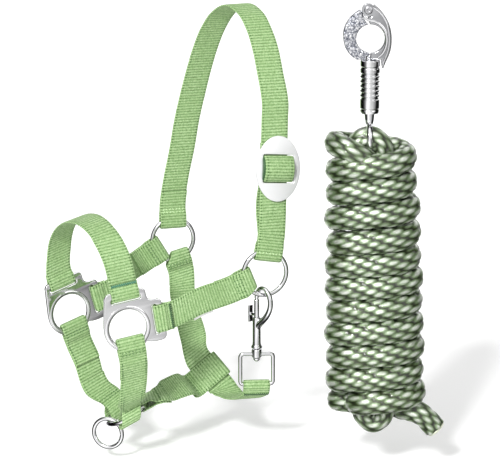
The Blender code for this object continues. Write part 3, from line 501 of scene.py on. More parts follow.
def woven(name, centres, rules, widths, thick=THICK, mat=None, depth=0.34, wander=0.0):
    """Ribbed webbing along 3D centre points (mm), with its rule and half widths at each."""
    centres = np.array([tuple(c) for c in centres])
    rules = np.array([tuple(r) for r in rules])
    widths = np.array(widths, float)
    run = np.concatenate([[0], np.cumsum(np.linalg.norm(np.diff(centres, axis=0), axis=1))])
    n = max(8, int(round(run[-1] / RIB)) * PER_RIB)
    v = np.linspace(0, run[-1], n + 1)
    c = np.stack([np.interp(v, run, centres[:, i]) for i in range(3)], 1)
    w = np.stack([np.interp(v, run, rules[:, i]) for i in range(3)], 1)
    w /= np.linalg.norm(w, axis=1)[:, None]
    half = np.stack([np.interp(v, run, widths[:, i]) for i in range(2)], 1)
    # soften the joints between sampled pieces
    for _ in range(3):
        c[1:-1] = c[1:-1] * 0.5 + (c[:-2] + c[2:]) * 0.25
    t = np.gradient(c, axis=0)
    t /= np.linalg.norm(t, axis=1)[:, None]
    nrm = np.cross(w, t)
    nrm /= np.linalg.norm(nrm, axis=1)[:, None]
    f = np.modf(v / RIB)[0]
    rib = np.sqrt(np.clip(1 - (2 * f - 1) ** 2, 0, 1))            # round ridges, sharp valleys
    a = np.array(ACROSS)
    edge = np.sqrt(np.clip(1 - np.abs(a) ** 12, 0, 1))
    selvage = np.clip((1 - np.abs(a)) / 0.1, 0.25, 1)
    rows = []
    for side in (1, -1):
        b = (thick / 2 - depth * (1 - rib[:, None]) * selvage[None, :]) * edge[None, :] * side
        x = np.where(a[None, :] < 0, a[None, :] * half[:, :1], a[None, :] * half[:, 1:])
        # the edge pulls in a little in each valley
        x = x - np.sign(a)[None, :] * (np.abs(a)[None, :] > 0.9) * 0.16 * (1 - rib[:, None])
        p = c[:, None, :] + w[:, None, :] * x[:, :, None] + nrm[:, None, :] * b[:, :, None]
        u = x
        rows.append((p, u) if side == 1 else (p[:, ::-1][:, 1:-1], u[:, ::-1][:, 1:-1]))
    grid = np.concatenate([rows[0][0], rows[1][0]], axis=1)
    gu = np.concatenate([rows[0][1], rows[1][1]], axis=1)
    m = grid.shape[1]
    # cut ends close on their own middle line
    verts = grid.reshape(-1, 3)
    faces = []
    idx = np.arange(len(v) * m).reshape(len(v), m)
    nxt = np.roll(idx, -1, axis=1)
    quads = np.stack([idx[:-1], idx[1:], nxt[1:], nxt[:-1]], axis=-1).reshape(-1, 4)
    faces = quads.tolist()
    k = len(ACROSS)
    for row, flip in ((idx[0], False), (idx[-1], True)):
        top, low = row[:k], np.concatenate([[row[0]], row[k:][::-1], [row[k - 1]]])
        for i in range(k - 1):
            q = [top[i], top[i + 1], low[i + 1], low[i]]
            q = list(dict.fromkeys(int(z) for z in (q if not flip else q[::-1])))
            if len(q) > 2:
                faces.append(q)
    mesh = bpy.data.meshes.new(name)
    mesh.from_pydata((verts * MM).tolist(), [], faces)
    uv = mesh.uv_layers.new(name="weave")
    loops = np.zeros(len(mesh.loops), np.int64)
    mesh.loops.foreach_get("vertex_index", loops)
    flat_u = gu.reshape(-1)
    flat_v = np.repeat(v, m)
    uv.data.foreach_set("uv", (np.stack([flat_u[loops], flat_v[loops]], 1) / 10).ravel())
    mesh.materials.append(mat or WEBBING)
    bm = bmesh.new()
    bm.from_mesh(mesh)
    bmesh.ops.recalc_face_normals(bm, faces=bm.faces)
    bm.to_mesh(mesh)
    bm.free()
    mesh.shade_smooth()
    obj = bpy.data.objects.new(name, mesh)
    looks.objects.link(obj)
    return obj


STITCH = []


def stitches(name, node, places, mat, length=2.1, radius=0.33, seg=6):
    """Small thread beads from (place, along, outward) in mm, as one piece."""
    verts, faces = [], []
    for p, d, o in places:
        d = d.normalized()
        o = (o - d * o.dot(d)).normalized()
        s = d.cross(o)
        base = len(verts)
        rings = [(-0.5, 0.30, -0.34), (-0.36, 0.85, 0.02), (0.0, 1.0, 0.22), (0.36, 0.85, 0.02), (0.5, 0.30, -0.34)]
        for along, r, lift in rings:
            for k in range(seg):
                a = 2 * math.pi * k / seg
                verts.append(tuple((p + d * (along * length) + o * (lift * radius * 1.6 + math.sin(a) * radius * r) + s * (math.cos(a) * radius * r)) * MM))
        for i in range(len(rings) - 1):
            for k in range(seg):
                q = base + i * seg
                faces.append((q + k, q + (k + 1) % seg, q + seg + (k + 1) % seg, q + seg + k))
        faces.append(tuple(base + k for k in range(seg))[::-1])
        faces.append(tuple(base + (len(rings) - 1) * seg + k for k in range(seg)))
    mesh = bpy.data.meshes.new(name)
    mesh.from_pydata(verts, [], faces)
    mesh.materials.append(mat)
    bm = bmesh.new()
    bm.from_mesh(mesh)
    bmesh.ops.recalc_face_normals(bm, faces=bm.faces)
    bm.to_mesh(mesh)
    bm.free()
    mesh.shade_smooth()
    obj = bpy.data.objects.new(name, mesh)
    looks.objects.link(obj)
    return companion(obj, node)


def layer_height(e, d):
    """How far the outer layer's middle stands off the strap's middle, this far from the anchor."""
    if d <= e["far"]:
        return e["r"]
    return e["r"] + (LAY - e["r"]) * ease((d - e["far"]) / (e["sewn"] - e["far"]))


def strap(name, points, rules, a, b, half=None, pitch=6.0, mat=None):
    """The fine strap on the frame's path, with cross rows of stitches at its sewn ends."""
    at, total = spline(points, rules)
    centres, ws, widths = [], [], []
    for s, h in smooth_path(total, a, b):
        c, w, t = at(s)
        n = w.cross(t).normalized()
        centres.append(c + n * h)
        ws.append(w)
        widths.append((WEB / 2, WEB / 2) if half is None else half(s, total))
    obj = woven(name + "_woven", centres, ws, widths)
    claim(obj, name)
    pale, tacks, tack_look = [], [], None
    for (kind, side, flap, *rest), at_end in ((a, False), (b, True)):
        sewn = END[kind]["sewn"]
        look = SEWN.get((name, at_end), {})
        for d in look.get("rows", (sewn + 2.0, sewn + min(flap, 17.0) - 3.0)):
            s = total - d if at_end else d
            c, w, t = at(s)
            n = w.cross(t).normalized()
            lo, hi = (WEB / 2, WEB / 2) if half is None else half(s, total)
            count = int((lo + hi - 3.2) / 2.75)
            for k in range(count):
                x = -lo + 1.6 + (lo + hi - 3.2) * (k + 0.5) / count
                for face in (1, -1):
                    pale.append((c + w * x + n * (face * (layer_height(END[kind], d) + THICK / 2 - 0.04)), w * 0.75 + t * (0.75 if k % 2 else -0.75), n * face))
        for x_edge in look.get("edges", ()):
            d0, d1 = sewn + 2.0, sewn + flap - 3.0
            count = int((d1 - d0) / 3.0)
            for k in range(count):
                d = d0 + (d1 - d0) * (k + 0.5) / count
                s = total - d if at_end else d
                c, w, t = at(s)
                n = w.cross(t).normalized()
                for face in (1, -1):
                    pale.append((c + w * x_edge + n * (face * (LAY + THICK / 2 - 0.06)), t, n * face))
        if look.get("tack"):
            # close zigzag over the flap's cut end
            mat_tack, wide, turns = look["tack"]
            d_end = sewn + flap
            for k in range(turns):
                d = d_end - 1.0
                s = total - d if at_end else d
                c, w, t = at(s)
                n = w.cross(t).normalized()
                x = -WEB / 2 + 1.2 + (WEB - 2.4) * (k + 0.5) / turns
                tacks.append((c + w * x - n * (side * (LAY + THICK / 2 - 0.02)), t + w * (0.34 if k % 2 else -0.34), -n * side))
            tack_look = (mat_tack, wide)
    if pale:
        stitches(name + "_stitching", name, pale, THREAD_PALE if name == "crown_strap" else THREAD, length=2.5, radius=0.40)
    if tacks:
        if tacks:
            stitches(name + "_bar_tack", name, tacks, tack_look[0], length=tack_look[1], radius=0.42)
    return obj


SEWN = {
    ("near_chin_strap", False): {"rows": (21.0, 23.5), "edges": (-10.6, 10.6)},
    ("near_chin_strap", True): {"rows": (9.5,), "edges": (-8.6, 8.6)},
    ("far_chin_strap", False): {"rows": (18.0, 20.5), "edges": (-10.6, 10.6)},
    ("far_chin_strap", True): {"rows": (15.0, 17.5)},
    ("noseband", True): {"rows": (), "tack": (THREAD_TEAL, 2.9, 26)},
    ("noseband", False): {"rows": (), "tack": (THREAD, 2.6, 22)},
    ("near_cheek_strap", True): {"rows": (), "tack": (THREAD_DARK_AND_SHADE, 3.2, 24)},
    ("far_cheek_strap", True): {"rows": (), "tack": (THREAD_DARK_AND_SHADE, 2.6, 22)},
    ("near_cheek_strap", False): {"rows": (23.5, 26.0, 28.5)},
    ("far_cheek_strap", False): {"rows": (22.0, 24.5)},
    ("throat_strap", True): {"rows": (), "tack": (THREAD_DARK_AND_SHADE, 2.6, 24)},
    ("throat_strap", False): {"rows": (22.5, 25.0)},
    ("crown_strap", True): {"rows": (19.0,)},
    ("crown_strap", False): {"rows": (27.0, 29.5)},
    ("connector_strap", True): {"rows": (21.0, 23.5)},
}
def both(*triples):
    return [Vector(t) for t in triples]


# ---- straps --------------------------------------------------------------------------------------
def ring_lead_in(centre, direction, far=34.0):
    return [centre + direction * d for d in (0.0, 12.0, 24.0, far)]


# crown: from the far ring over the poll, down through the slide, round the near ring and back up
near_up = in_plane(E1, Z, 80)
crown_pts = (
    ring_lead_in(FAR_RING, Z)
    + both((-70.5, -20.5, -168), (-66.5, -16.5, -141), (-62, -13.5, -112), (-56, -11, -88), (-48.5, -8.8, -64),
           (-40, -6.8, -42), (-30, -4.6, -23), (-17, -1.8, -7.8), (0, 0.8, -0.2), (17, 2.8, -6.2), (29, 3.2, -18.5),
           (39, 2.9, -34), (48, 2.0, -55))
    + [SLIDE_AT + SLIDE_AX * d for d in (60.0, 47.0, 0.0, -50.0)]
    + list(reversed(ring_lead_in(NEAR_RING, near_up)))
)
top_rule = -turn(80)
crown_rules = [-E1] * 4 + [-turn(74)] * 4 + [-turn(76)] * 4 + [top_rule] * 3 + [-turn(76)] * 2 + [-E1] * 4 + [-in_plane(E1, Z, -10)] * 4
strap("crown_strap", crown_pts, crown_rules, ("ring", 1, 17.0), ("ring", 1, 88.0, 9.0), pitch=7.0)

# noseband: far cheek plate, over the nose, near cheek plate
far_bar = FAR_PLATE + FAR_V * BAR_IN + FAR_U * 0.5
near_bar = NEAR_PLATE + NEAR_V * BAR_IN + NEAR_U * 2.5
nose_pts = (
    [far_bar + FAR_V * d for d in (0.0, 7.0, 14.0)]
    + both((-45.8, -163.6, -214), (-41, -164, -199), (-32.5, -164.4, -187.6), (-19, -165, -178.6), (-3, -166, -173.4),
           (13, -165.6, -172.6), (27, -163, -178.6), (37.5, -160, -190.4), (43.5, -156.3, -205))
    + [near_bar + NEAR_V * d for d in (14.0, 7.0, 0.0)]
)
nose_top = Vector((0.02, -0.98, -0.19)).normalized()
nose_rules = [-FAR_U] * 3 + [-FAR_U] * 2 + [nose_top] * 5 + [-NEAR_U] * 2 + [-NEAR_U] * 3
strap("noseband", nose_pts, nose_rules, ("bar", -1, 3.4), ("bar", -1, 3.4), pitch=6.0)


def narrowed(end_lo, end_hi, at_start=True):
    """Half widths that shrink towards the ring, where the webbing crowds against its neighbour."""
    def half(s, total):
        d = s if at_start else total - s
        k = ease((d - 10.0) / 14.0)
        return end_lo + (WEB / 2 - end_lo) * k, end_hi + (WEB / 2 - end_hi) * k
    return half


near_dir = in_plane(E1, Z, 202)
near_cheek_end = NEAR_PLATE + NEAR_U * BAR_IN + NEAR_V * 2.0
near_cheek_pts = (
    ring_lead_in(NEAR_RING, near_dir, 33.0)
    + both((60.5, -80.5, -248.2))
    + [near_cheek_end + NEAR_U * d for d in (14.0, 7.0, 0.0)]
)
strap("near_cheek_strap", near_cheek_pts, [in_plane(E1, Z, 112)] * 4 + [in_plane(E1, Z, 106)] + [NEAR_V] * 3,
      ("ring", 1, 17.0), ("bar", -1, 3.4), half=narrowed(8.0, WEB / 2))

far_dir = in_plane(E1, Z, 211)
far_cheek_end = FAR_PLATE + FAR_U * BAR_IN + FAR_V * 2.0
far_cheek_pts = (
    ring_lead_in(FAR_RING, far_dir, 33.0)
    + both((-58.5, -86, -248.5))
    + [far_cheek_end + FAR_U * d for d in (14.0, 7.0, 0.0)]
)
strap("far_cheek_strap", far_cheek_pts, [-in_plane(E1, Z, 121)] * 4 + [-in_plane(E1_FAR, Z, 112)] + [-FAR_V] * 3,
      ("ring", 1, 17.0), ("bar", -1, 3.4))

# chin straps: round the lower rim of a cheek plate, doubled down to a loop round the chin ring
near_wire = CHIN_RING + in_plane(CHIN_A, CHIN_B, 86) * (RING_MEAN - 1.6)
far_wire = CHIN_RING + in_plane(CHIN_A, CHIN_B, 240) * (RING_MEAN - 1.6)
near_tan = -in_plane(CHIN_A, CHIN_B, 176)
far_tan = in_plane(CHIN_A, CHIN_B, 330)
near_chin_pts = (
    [NEAR_PLATE - NEAR_V * d for d in (0.0, 12.0, 22.0, 30.0)]
    + both((40.5, -139.5, -313), (31.5, -136, -337))
    + [near_wire + Vector((0.25, -0.03, 0.968)).normalized() * d for d in (11.0, 5.0, 0.0)]
)
strap("near_chin_strap", near_chin_pts, [NEAR_U] * 4 + [NEAR_U, (NEAR_U + near_tan).normalized()] + [near_tan] * 3,
      ("rim", -1, 22.0), ("wire", -1, 29.0), half=narrowed(9.8, 9.6, False))
far_chin_pts = (
    [FAR_PLATE - FAR_V * d for d in (0.0, 12.0, 22.0, 30.0)]
    + both((-40, -139.5, -317), (-30, -135.2, -341.5))
    + [far_wire + Vector((-0.42, -0.05, 0.906)).normalized() * d for d in (11.0, 5.0, 0.0)]
)
strap("far_chin_strap", far_chin_pts, [FAR_U] * 4 + [FAR_U, (FAR_U + far_tan).normalized()] + [far_tan] * 3,
      ("rim", 1, 22.0), ("wire", 1, 29.0), half=narrowed(10.6, 10.6, False))

# connector: from the chin ring back to the throat, where its end is sewn into a keeper
conn_pts = (
    ring_lead_in(CHIN_RING, CHIN_A, 31.0)
    + both((6.5, -80, -345.5), (2.5, -62, -344.5))
    + [KEEPER - KEEP_D * d for d in (20.0, 10.0, 0.0)]
)
half_way = (CHIN_B + KEEP_T).normalized()
strap("connector_strap", conn_pts,
      [CHIN_B] * 3 + [(CHIN_B * 3 + KEEP_T).normalized(), (CHIN_B + KEEP_T * 2).normalized(), (CHIN_B + KEEP_T * 6).normalized()] + [KEEP_T] * 3,
      ("ring", 1, 14.0), ("keeper", 1, 10.0))

# throat strap: far ring, through the keeper, up to the square eye of the snap
eye_bar = SNAP_AXIS + Z * (SNAP_Z - EYE_DROP)
throat_dir = in_plane(E1, Z, 284)
throat_pts = (
    ring_lead_in(FAR_RING, throat_dir, 33.0)
    + both((-58, -23, -278.7), (-40, -28.5, -296.3), (-22, -34.5, -310))
    + [KEEPER + KEEP_D.cross(KEEP_T) * LAY + KEEP_T * d for d in (-17.0, -8.0, 6.0, 15.0)]
    + both((14.5, -23.6, -354.2), (25, -22.8, -357.2), (40, -23, -355.6), (54, -23.4, -351), (62.5, -23.7, -345.0))
    + [eye_bar - Z * 4.5, eye_bar]
)


def throat_half(s, total):
    """Crowded at the far ring, and a little narrow between the corners of the square eye."""
    lo, hi = narrowed(4.6, 11.5)(s, total)
    return (lo, hi) if total - s > 14 else (12.0, 12.0)


throat_rules = ([in_plane(E1, Z, 14)] * 4 + [turn(74), turn(72), (turn(70) + KEEP_D).normalized()] + [KEEP_D] * 4
                + [(turn(70) + KEEP_D * 0.5).normalized(), turn(74), turn(72), turn(66), turn(62), EYE_X, EYE_X])
strap("throat_strap", throat_pts, throat_rules, ("ring", -1, 13.0), ("eye", -1, 3.0),
      half=throat_half)


# ---- slide passage and tag ---------------------------------------------------------------------------
SL_Y = SLIDE_AX
SL_X = (E1 - SL_Y * E1.dot(SL_Y)).normalized()
SL_Z = SL_X.cross(SL_Y)
STRAP_FACE = LAY + THICK / 2
hump_c = []
for k in range(61):
    a = math.radians(-68 + 136 * k / 60)
    y = 11.2 * math.sin(a) / math.sin(math.radians(68))
    h = STRAP_FACE + 1.6 + 6.4 * (math.cos(a) - math.cos(math.radians(68))) / (1 - math.cos(math.radians(68)))
    hump_c.append(SLIDE_AT + SL_X * 3.2 + SL_Y * (y + 1.8) + SL_Z * h)
claim(woven("slide_strap_hump_woven", hump_c, [SL_X] * 61, [(13.3, 13.7)] * 61), "slide_strap_hump")

inner_c = []
for k in range(61):
    a = math.radians(-68 + 136 * k / 60)
    rise = (math.cos(a) - math.cos(math.radians(68))) / (1 - math.cos(math.radians(68)))
    inner_c.append(SLIDE_AT + SL_X * 3.2 + SL_Y * (9.0 * math.sin(a) / math.sin(math.radians(68)) + 1.8) + SL_Z * (STRAP_FACE + 0.9 + 4.4 * rise))
companion(woven("slide_strap_lining", inner_c, [SL_X] * 61, [(13.7, 13.4)] * 61, thick=1.3), "slide_strap_hump")

tag_at, tag_total = spline(near_cheek_pts, [in_plane(E1, Z, 112)] * 4 + [in_plane(E1, Z, 106)] + [NEAR_V] * 3)
tag_c, tag_w = [], []
for k in range(40):
    c, w, t = tag_at(56.0 + 19.2 * k / 39)
    n = w.cross(t).normalized()
    tag_c.append(c - n * (2.7 + 0.15 * math.sin(k / 39 * math.pi)) - w * 9.7)
    tag_w.append(w)
claim(woven("woven_tag_tape", tag_c, tag_w, [(5.7, 5.7)] * 40, thick=0.5, mat=LABEL, depth=0.03), "woven_tag")


# ---- hardware helpers ----------------------------------------------------------------------------------
def arc(cx, cy, r, a0, a1, n):
    return [(cx + r * math.cos(math.radians(a0 + (a1 - a0) * k / n)), cy + r * math.sin(math.radians(a0 + (a1 - a0) * k / n)))
            for k in range(n + 1)]


def soft(points, per=6):
    """Catmull-Rom through 2D points, both ends kept."""
    p = [points[0]] + list(points) + [points[-1]]
    out = []
    for i in range(1, len(p) - 2):
        a, b, c, d = (np.array(q, float) for q in p[i - 1:i + 3])
        for k in range(per):
            t = k / per
            out.append(tuple(0.5 * ((2 * b) + (c - a) * t + (2 * a - 5 * b + 4 * c - d) * t * t + (3 * b - a - 3 * c + d) * t ** 3)))
    out.append(tuple(points[-1]))
    return out


def inset(loop, d):
    """The closed outline moved to its left by d, mitred."""
    p = np.array(loop, float)
    e = np.roll(p, -1, 0) - p
    e /= np.linalg.norm(e, axis=1)[:, None]
    n = np.stack([-e[:, 1], e[:, 0]], 1)
    m = n + np.roll(n, 1, 0)
    m /= np.maximum((m ** 2).sum(1), 0.7)[:, None] / 2
    return p + m * d


def area(loop):
    p = np.array(loop)
    q = np.roll(p, -1, 0)
    return 0.5 * (p[:, 0] * q[:, 1] - q[:, 0] * p[:, 1]).sum()


def slab(name, loops, thick, bevel, matrix, mat, seg=4, dome=None):
    """A flat piece with rounded edges from closed outlines in mm: the first is its edge, the others its holes."""
    from mathutils.geometry import tessellate_polygon
    loops = [list(dict.fromkeys((round(x, 4), round(y, 4)) for x, y in loop)) for loop in loops]
    loops = [loop if (area(loop) > 0) == (i == 0) else loop[::-1] for i, loop in enumerate(loops)]
    levels = []
    for k in range(seg + 1):
        a = math.pi / 2 * k / seg
        levels.append((bevel * (1 - math.sin(a)), -thick / 2 + bevel * (1 - math.cos(a))))
    levels += [(o, -z) for o, z in reversed(levels)]
    bm = bmesh.new()
    caps = ([], [])
    for loop in loops:
        rings = []
        for o, z in levels:
            pts = inset(loop, o)
            rings.append([bm.verts.new((x * MM, y * MM, z * MM)) for x, y in pts])
        for a, b in zip(rings, rings[1:]):
            for i in range(len(a)):
                j = (i + 1) % len(a)
                bm.faces.new((a[i], a[j], b[j], b[i]))
        caps[0].append(rings[0])
        caps[1].append(rings[-1])
    for cap, flip in zip(caps, (True, False)):
        flat = [v for ring in cap for v in ring]
        for t in tessellate_polygon([[v.co for v in ring] for ring in cap]):
            try:
                bm.faces.new([flat[i] for i in (t[::-1] if flip else t)])
            except ValueError:
                pass
    bmesh.ops.recalc_face_normals(bm, faces=bm.faces)
    mesh = bpy.data.meshes.new(name)
    bm.to_mesh(mesh)
    bm.free()
    return finish_mesh(name, mesh, matrix, mat)


def finish_mesh(name, mesh, matrix, mat, angle=40):
    """Bakes the place into the mesh and links it."""
    m = matrix.copy()
    m.translation = matrix.translation * MM
    mesh.transform(m)
    mesh.materials.clear()
    mesh.materials.append(mat)
    mesh.shade_smooth()
    mesh.set_sharp_from_angle(angle=math.radians(angle))
    obj = bpy.data.objects.new(name, mesh)
    looks.objects.link(obj)
    return obj


def frame_at(origin, x, y, z):
    m = Matrix((x, y, z)).transposed().to_4x4()
    m.translation = origin
    return m


def axis_frame(at, axis):
    m = axis.to_track_quat("Z", "Y").to_matrix().to_4x4()
    m.translation = at
    return m


def torus(name, centre, normal, mean, wire, major=144, minor=24, mat=None, squash=1.0):
    bm = bmesh.new()
    grid = []
    for i in range(major):
        a = 2 * math.pi * i / major
        ring = []
        for k in range(minor):
            b = 2 * math.pi * k / minor
            r = mean + wire * math.cos(b)
            ring.append(bm.verts.new((r * math.cos(a) * MM, r * math.sin(a) * MM, wire * squash * math.sin(b) * MM)))
        grid.append(ring)
    for i in range(major):
        for k in range(minor):
            bm.faces.new((grid[i][k], grid[(i + 1) % major][k], grid[(i + 1) % major][(k + 1) % minor], grid[i][(k + 1) % minor]))
    bmesh.ops.recalc_face_normals(bm, faces=bm.faces)
    mesh = bpy.data.meshes.new(name)
    bm.to_mesh(mesh)
    bm.free()
    return finish_mesh(name, mesh, axis_frame(centre, normal), mat or NICKEL, 180)


def turned(name, profile, at, axis, mat, seg=64, angle=40):
    """A profile of (radius, height) in mm spun round its own axis."""
    bm = bmesh.new()
    pts = [bm.verts.new((r * MM, 0, h * MM)) for r, h in profile]
    edges = [bm.edges.new((a, b)) for a, b in zip(pts, pts[1:])]
    bmesh.ops.spin(bm, geom=pts + edges, cent=(0, 0, 0), axis=(0, 0, 1), angle=2 * math.pi, steps=seg, use_duplicate=False)
    bmesh.ops.remove_doubles(bm, verts=bm.verts, dist=0.000004)
    bmesh.ops.recalc_face_normals(bm, faces=bm.faces)
    mesh = bpy.data.meshes.new(name)
    bm.to_mesh(mesh)
    bm.free()
    return finish_mesh(name, mesh, axis_frame(at, axis), mat, angle)


def rounded(profile, r=0.35, n=3):
    """The profile with each corner off the axis rounded."""
    out = [profile[0]]
    for a, b, c in zip(profile, profile[1:], profile[2:]):
        a, b, c = (np.array(q, float) for q in (a, b, c))
        la, lc = np.linalg.norm(a - b), np.linalg.norm(c - b)
        k = min(r, la * 0.45, lc * 0.45)
        p, q = b + (a - b) / la * k, b + (c - b) / lc * k
        for i in range(n + 1):
            t = i / n
            out.append(tuple(p * (1 - t) ** 2 + b * 2 * t * (1 - t) + q * t * t))
    out.append(profile[-1])
    return out


def tube(name, points, radii, mat, cyclic=False, seg=20, angle=180, squash=None):
    """A round bar along 3D points in mm with its radius at each, closed with round ends."""
    p = np.array([tuple(q) for q in points], float)
    n = len(p)
    r = np.full(n, radii, float) if np.isscalar(radii) else np.array(radii, float)
    t = (np.roll(p, -1, 0) - np.roll(p, 1, 0)) if cyclic else np.gradient(p, axis=0)
    t /= np.linalg.norm(t, axis=1)[:, None]
    ref = np.cross(t[0], (0.3, 0.1, 0.9))
    ref /= np.linalg.norm(ref)
    frames = []
    for i in range(n):
        ref = ref - t[i] * ref.dot(t[i])
        ref /= np.linalg.norm(ref)
        frames.append((ref.copy(), np.cross(t[i], ref)))
    bm = bmesh.new()
    rings = []

    def ring(c, fr, rad):
        return [bm.verts.new(tuple((c + (fr[0] * math.cos(2 * math.pi * k / seg) + fr[1] * math.sin(2 * math.pi * k / seg)) * rad) * MM)) for k in range(seg)]

    if not cyclic:
        for a in (75, 50, 25):
            rings.append(ring(p[0] - t[0] * r[0] * 0.5 * math.sin(math.radians(a)), frames[0], r[0] * math.cos(math.radians(a))))
    for i in range(n):
        rings.append(ring(p[i], frames[i], r[i]))
    if not cyclic:
        for a in (25, 50, 75):
            rings.append(ring(p[-1] + t[-1] * r[-1] * 0.5 * math.sin(math.radians(a)), frames[-1], r[-1] * math.cos(math.radians(a))))
    # a closed loop may come back turned about its own axis
    shift = 0
    if cyclic:
        shift = min(range(seg), key=lambda s: (rings[-1][0].co - rings[0][s].co).length)
    for i in range(len(rings) - 1):
        for k in range(seg):
            bm.faces.new((rings[i][k], rings[i][(k + 1) % seg], rings[i + 1][(k + 1) % seg], rings[i + 1][k]))
    if cyclic:
        for k in range(seg):
            bm.faces.new((rings[-1][k], rings[-1][(k + 1) % seg], rings[0][(k + 1 + shift) % seg], rings[0][(k + shift) % seg]))
    else:
        bm.faces.new(rings[0][::-1])
        bm.faces.new(rings[-1])
    bmesh.ops.recalc_face_normals(bm, faces=bm.faces)
    mesh = bpy.data.meshes.new(name)
    bm.to_mesh(mesh)
    bm.free()
    return finish_mesh(name, mesh, Matrix.Identity(4), mat, angle)


def combine(obj, other, how):
    """Union with, or cut by, another piece, which is used up."""
    m = obj.modifiers.new("boolean", "BOOLEAN")
    m.operation = how
    m.solver = "EXACT"
    m.object = other
    bpy.context.view_layer.update()
    mesh = bpy.data.meshes.new_from_object(obj.evaluated_get(bpy.context.evaluated_depsgraph_get()))
    obj.modifiers.clear()
    mesh.name = obj.name
    obj.data = mesh
    bpy.data.objects.remove(other, do_unlink=True)
    mesh.shade_smooth()
    mesh.set_sharp_from_angle(angle=math.radians(38))
    return obj


def block(name, size, matrix, mat, bevel=0.3):
    bm = bmesh.new()
    bmesh.ops.create_cube(bm, size=1)
    bmesh.ops.scale(bm, vec=[s * MM for s in size], verts=bm.verts)
    if bevel:
        bmesh.ops.bevel(bm, geom=list(bm.edges), offset=bevel * MM, segments=3, profile=0.5, affect="EDGES")
    mesh = bpy.data.meshes.new(name)
    bm.to_mesh(mesh)
    bm.free()
    return finish_mesh(name, mesh, matrix, mat, 50)


# ---- rings, plates, slide ---------------------------------------------------------------------------------
SIDE_N = E1.cross(Z)
claim(torus("near_ring_polished", NEAR_RING, SIDE_N, RING_MEAN, WIRE), "near_ring")
claim(torus("far_ring_polished", FAR_RING, SIDE_N, RING_MEAN, WIRE), "far_ring")
claim(torus("chin_ring_polished", CHIN_RING, CHIN_N, RING_MEAN, WIRE), "chin_ring")
LEAD_HOLD = CHIN_RING + in_plane(CHIN_A, CHIN_B, 172) * RING_MEAN
LEAD_AT = LEAD_HOLD - Z * (LEAD_MEAN - 2 * WIRE - GAP)
claim(torus("lead_ring_polished", LEAD_AT, turn(-52), LEAD_MEAN, WIRE, 112), "lead_ring")


def slot(x0, x1, y0, y1, r=1.6):
    out = []
    for cx, cy, a in ((x1 - r, y1 - r, 0), (x0 + r, y1 - r, 90), (x0 + r, y0 + r, 180), (x1 - r, y0 + r, 270)):
        out += arc(cx, cy, r, a, a + 90, 6)
    return out


def plate_edge():
    edge = arc(0, 0, RIM_R, 176, 312, 60)
    edge += soft([(15.2, -15.6), (18.5, -17.0), (24.0, -17.8)], 4)
    edge += arc(28.5, -12.8, 5.0, 270, 360, 10)
    edge += arc(28.5, 15.5, 5.0, 0, 90, 10)
    edge += soft([(27.4, 20.6), (24.6, 21.0), (22.0, 22.2), (20.9, 25.0), (20.8, 27.4)], 5)
    edge += arc(15.8, 28.5, 5.0, 0, 90, 10)
    edge += arc(-12.0, 28.5, 5.0, 90, 180, 10)
    edge += soft([(-17.0, 27.6), (-18.2, 22.0), (-20.0, 12.0), (-21.2, 5.0)], 6)
    return edge


def plate(node, at, u, v, top):
    hole = arc(0, 0, HOLE_R, 0, 354, 59)
    out = u.cross(v)
    obj = slab(node + "_cast", [plate_edge(), hole, top, slot(SLOT_IN, BAR_IN, -11.5, 15.5)], PLATE_T, 0.95, frame_at(at, u, v, out), CAST)
    rim = torus(node + "_rim", at, out, (HOLE_R + RIM_R) / 2 - 0.15, 2.1, 120, 16, CAST, 0.9)
    claim(obj, node)
    companion(rim, node)


plate("near_plate", NEAR_PLATE, NEAR_U, NEAR_V, slot(-11.0, 16.0, SLOT_IN, BAR_IN))
plate("far_plate", FAR_PLATE, FAR_U, FAR_V, slot(-13.0, 14.0, SLOT_IN, BAR_IN))

slide_mid = SLIDE_AT + SL_X * 3.2 + SL_Y * 1.8 + SL_Z * (STRAP_FACE + 0.4 + SLIDE_T / 2)
oval = [(SLIDE_W / 2 * math.cos(2 * math.pi * k / 120), SLIDE_H / 2 * math.sin(2 * math.pi * k / 120)) for k in range(120)]
claim(slab("crown_slide_cast", [oval, slot(-14.0, 14.4, 4.5, 12.6, 1.4), slot(-14.0, 14.4, -12.6, -4.5, 1.4)], SLIDE_T, 0.9,
           frame_at(slide_mid, SL_X, SL_Y, SL_Z), SATIN, 5), "crown_slide")

# a dark block in dark thread colour under the slide's hump, filling its slots: painted shade where the hump's hollow
# lies in shadow
shade_block_yz = []
for k in range(41):
    a = math.radians(-66 + 132 * k / 40)
    rise = (math.cos(a) - math.cos(math.radians(66))) / (1 - math.cos(math.radians(66)))
    shade_block_yz.append((11.4 * math.sin(a) / math.sin(math.radians(66)), STRAP_FACE + 0.9 + 6.4 * rise))
shade_block_at = SLIDE_AT + SL_X * 3.2 + SL_Y * 1.8
companion(slab("slide_hump_shade_block", [shade_block_yz], 28.6, 0.7, frame_at(shade_block_at - SL_X * 0.6, SL_Y, SL_Z, SL_X), THREAD_DARK_AND_SHADE), "slide_strap_hump")

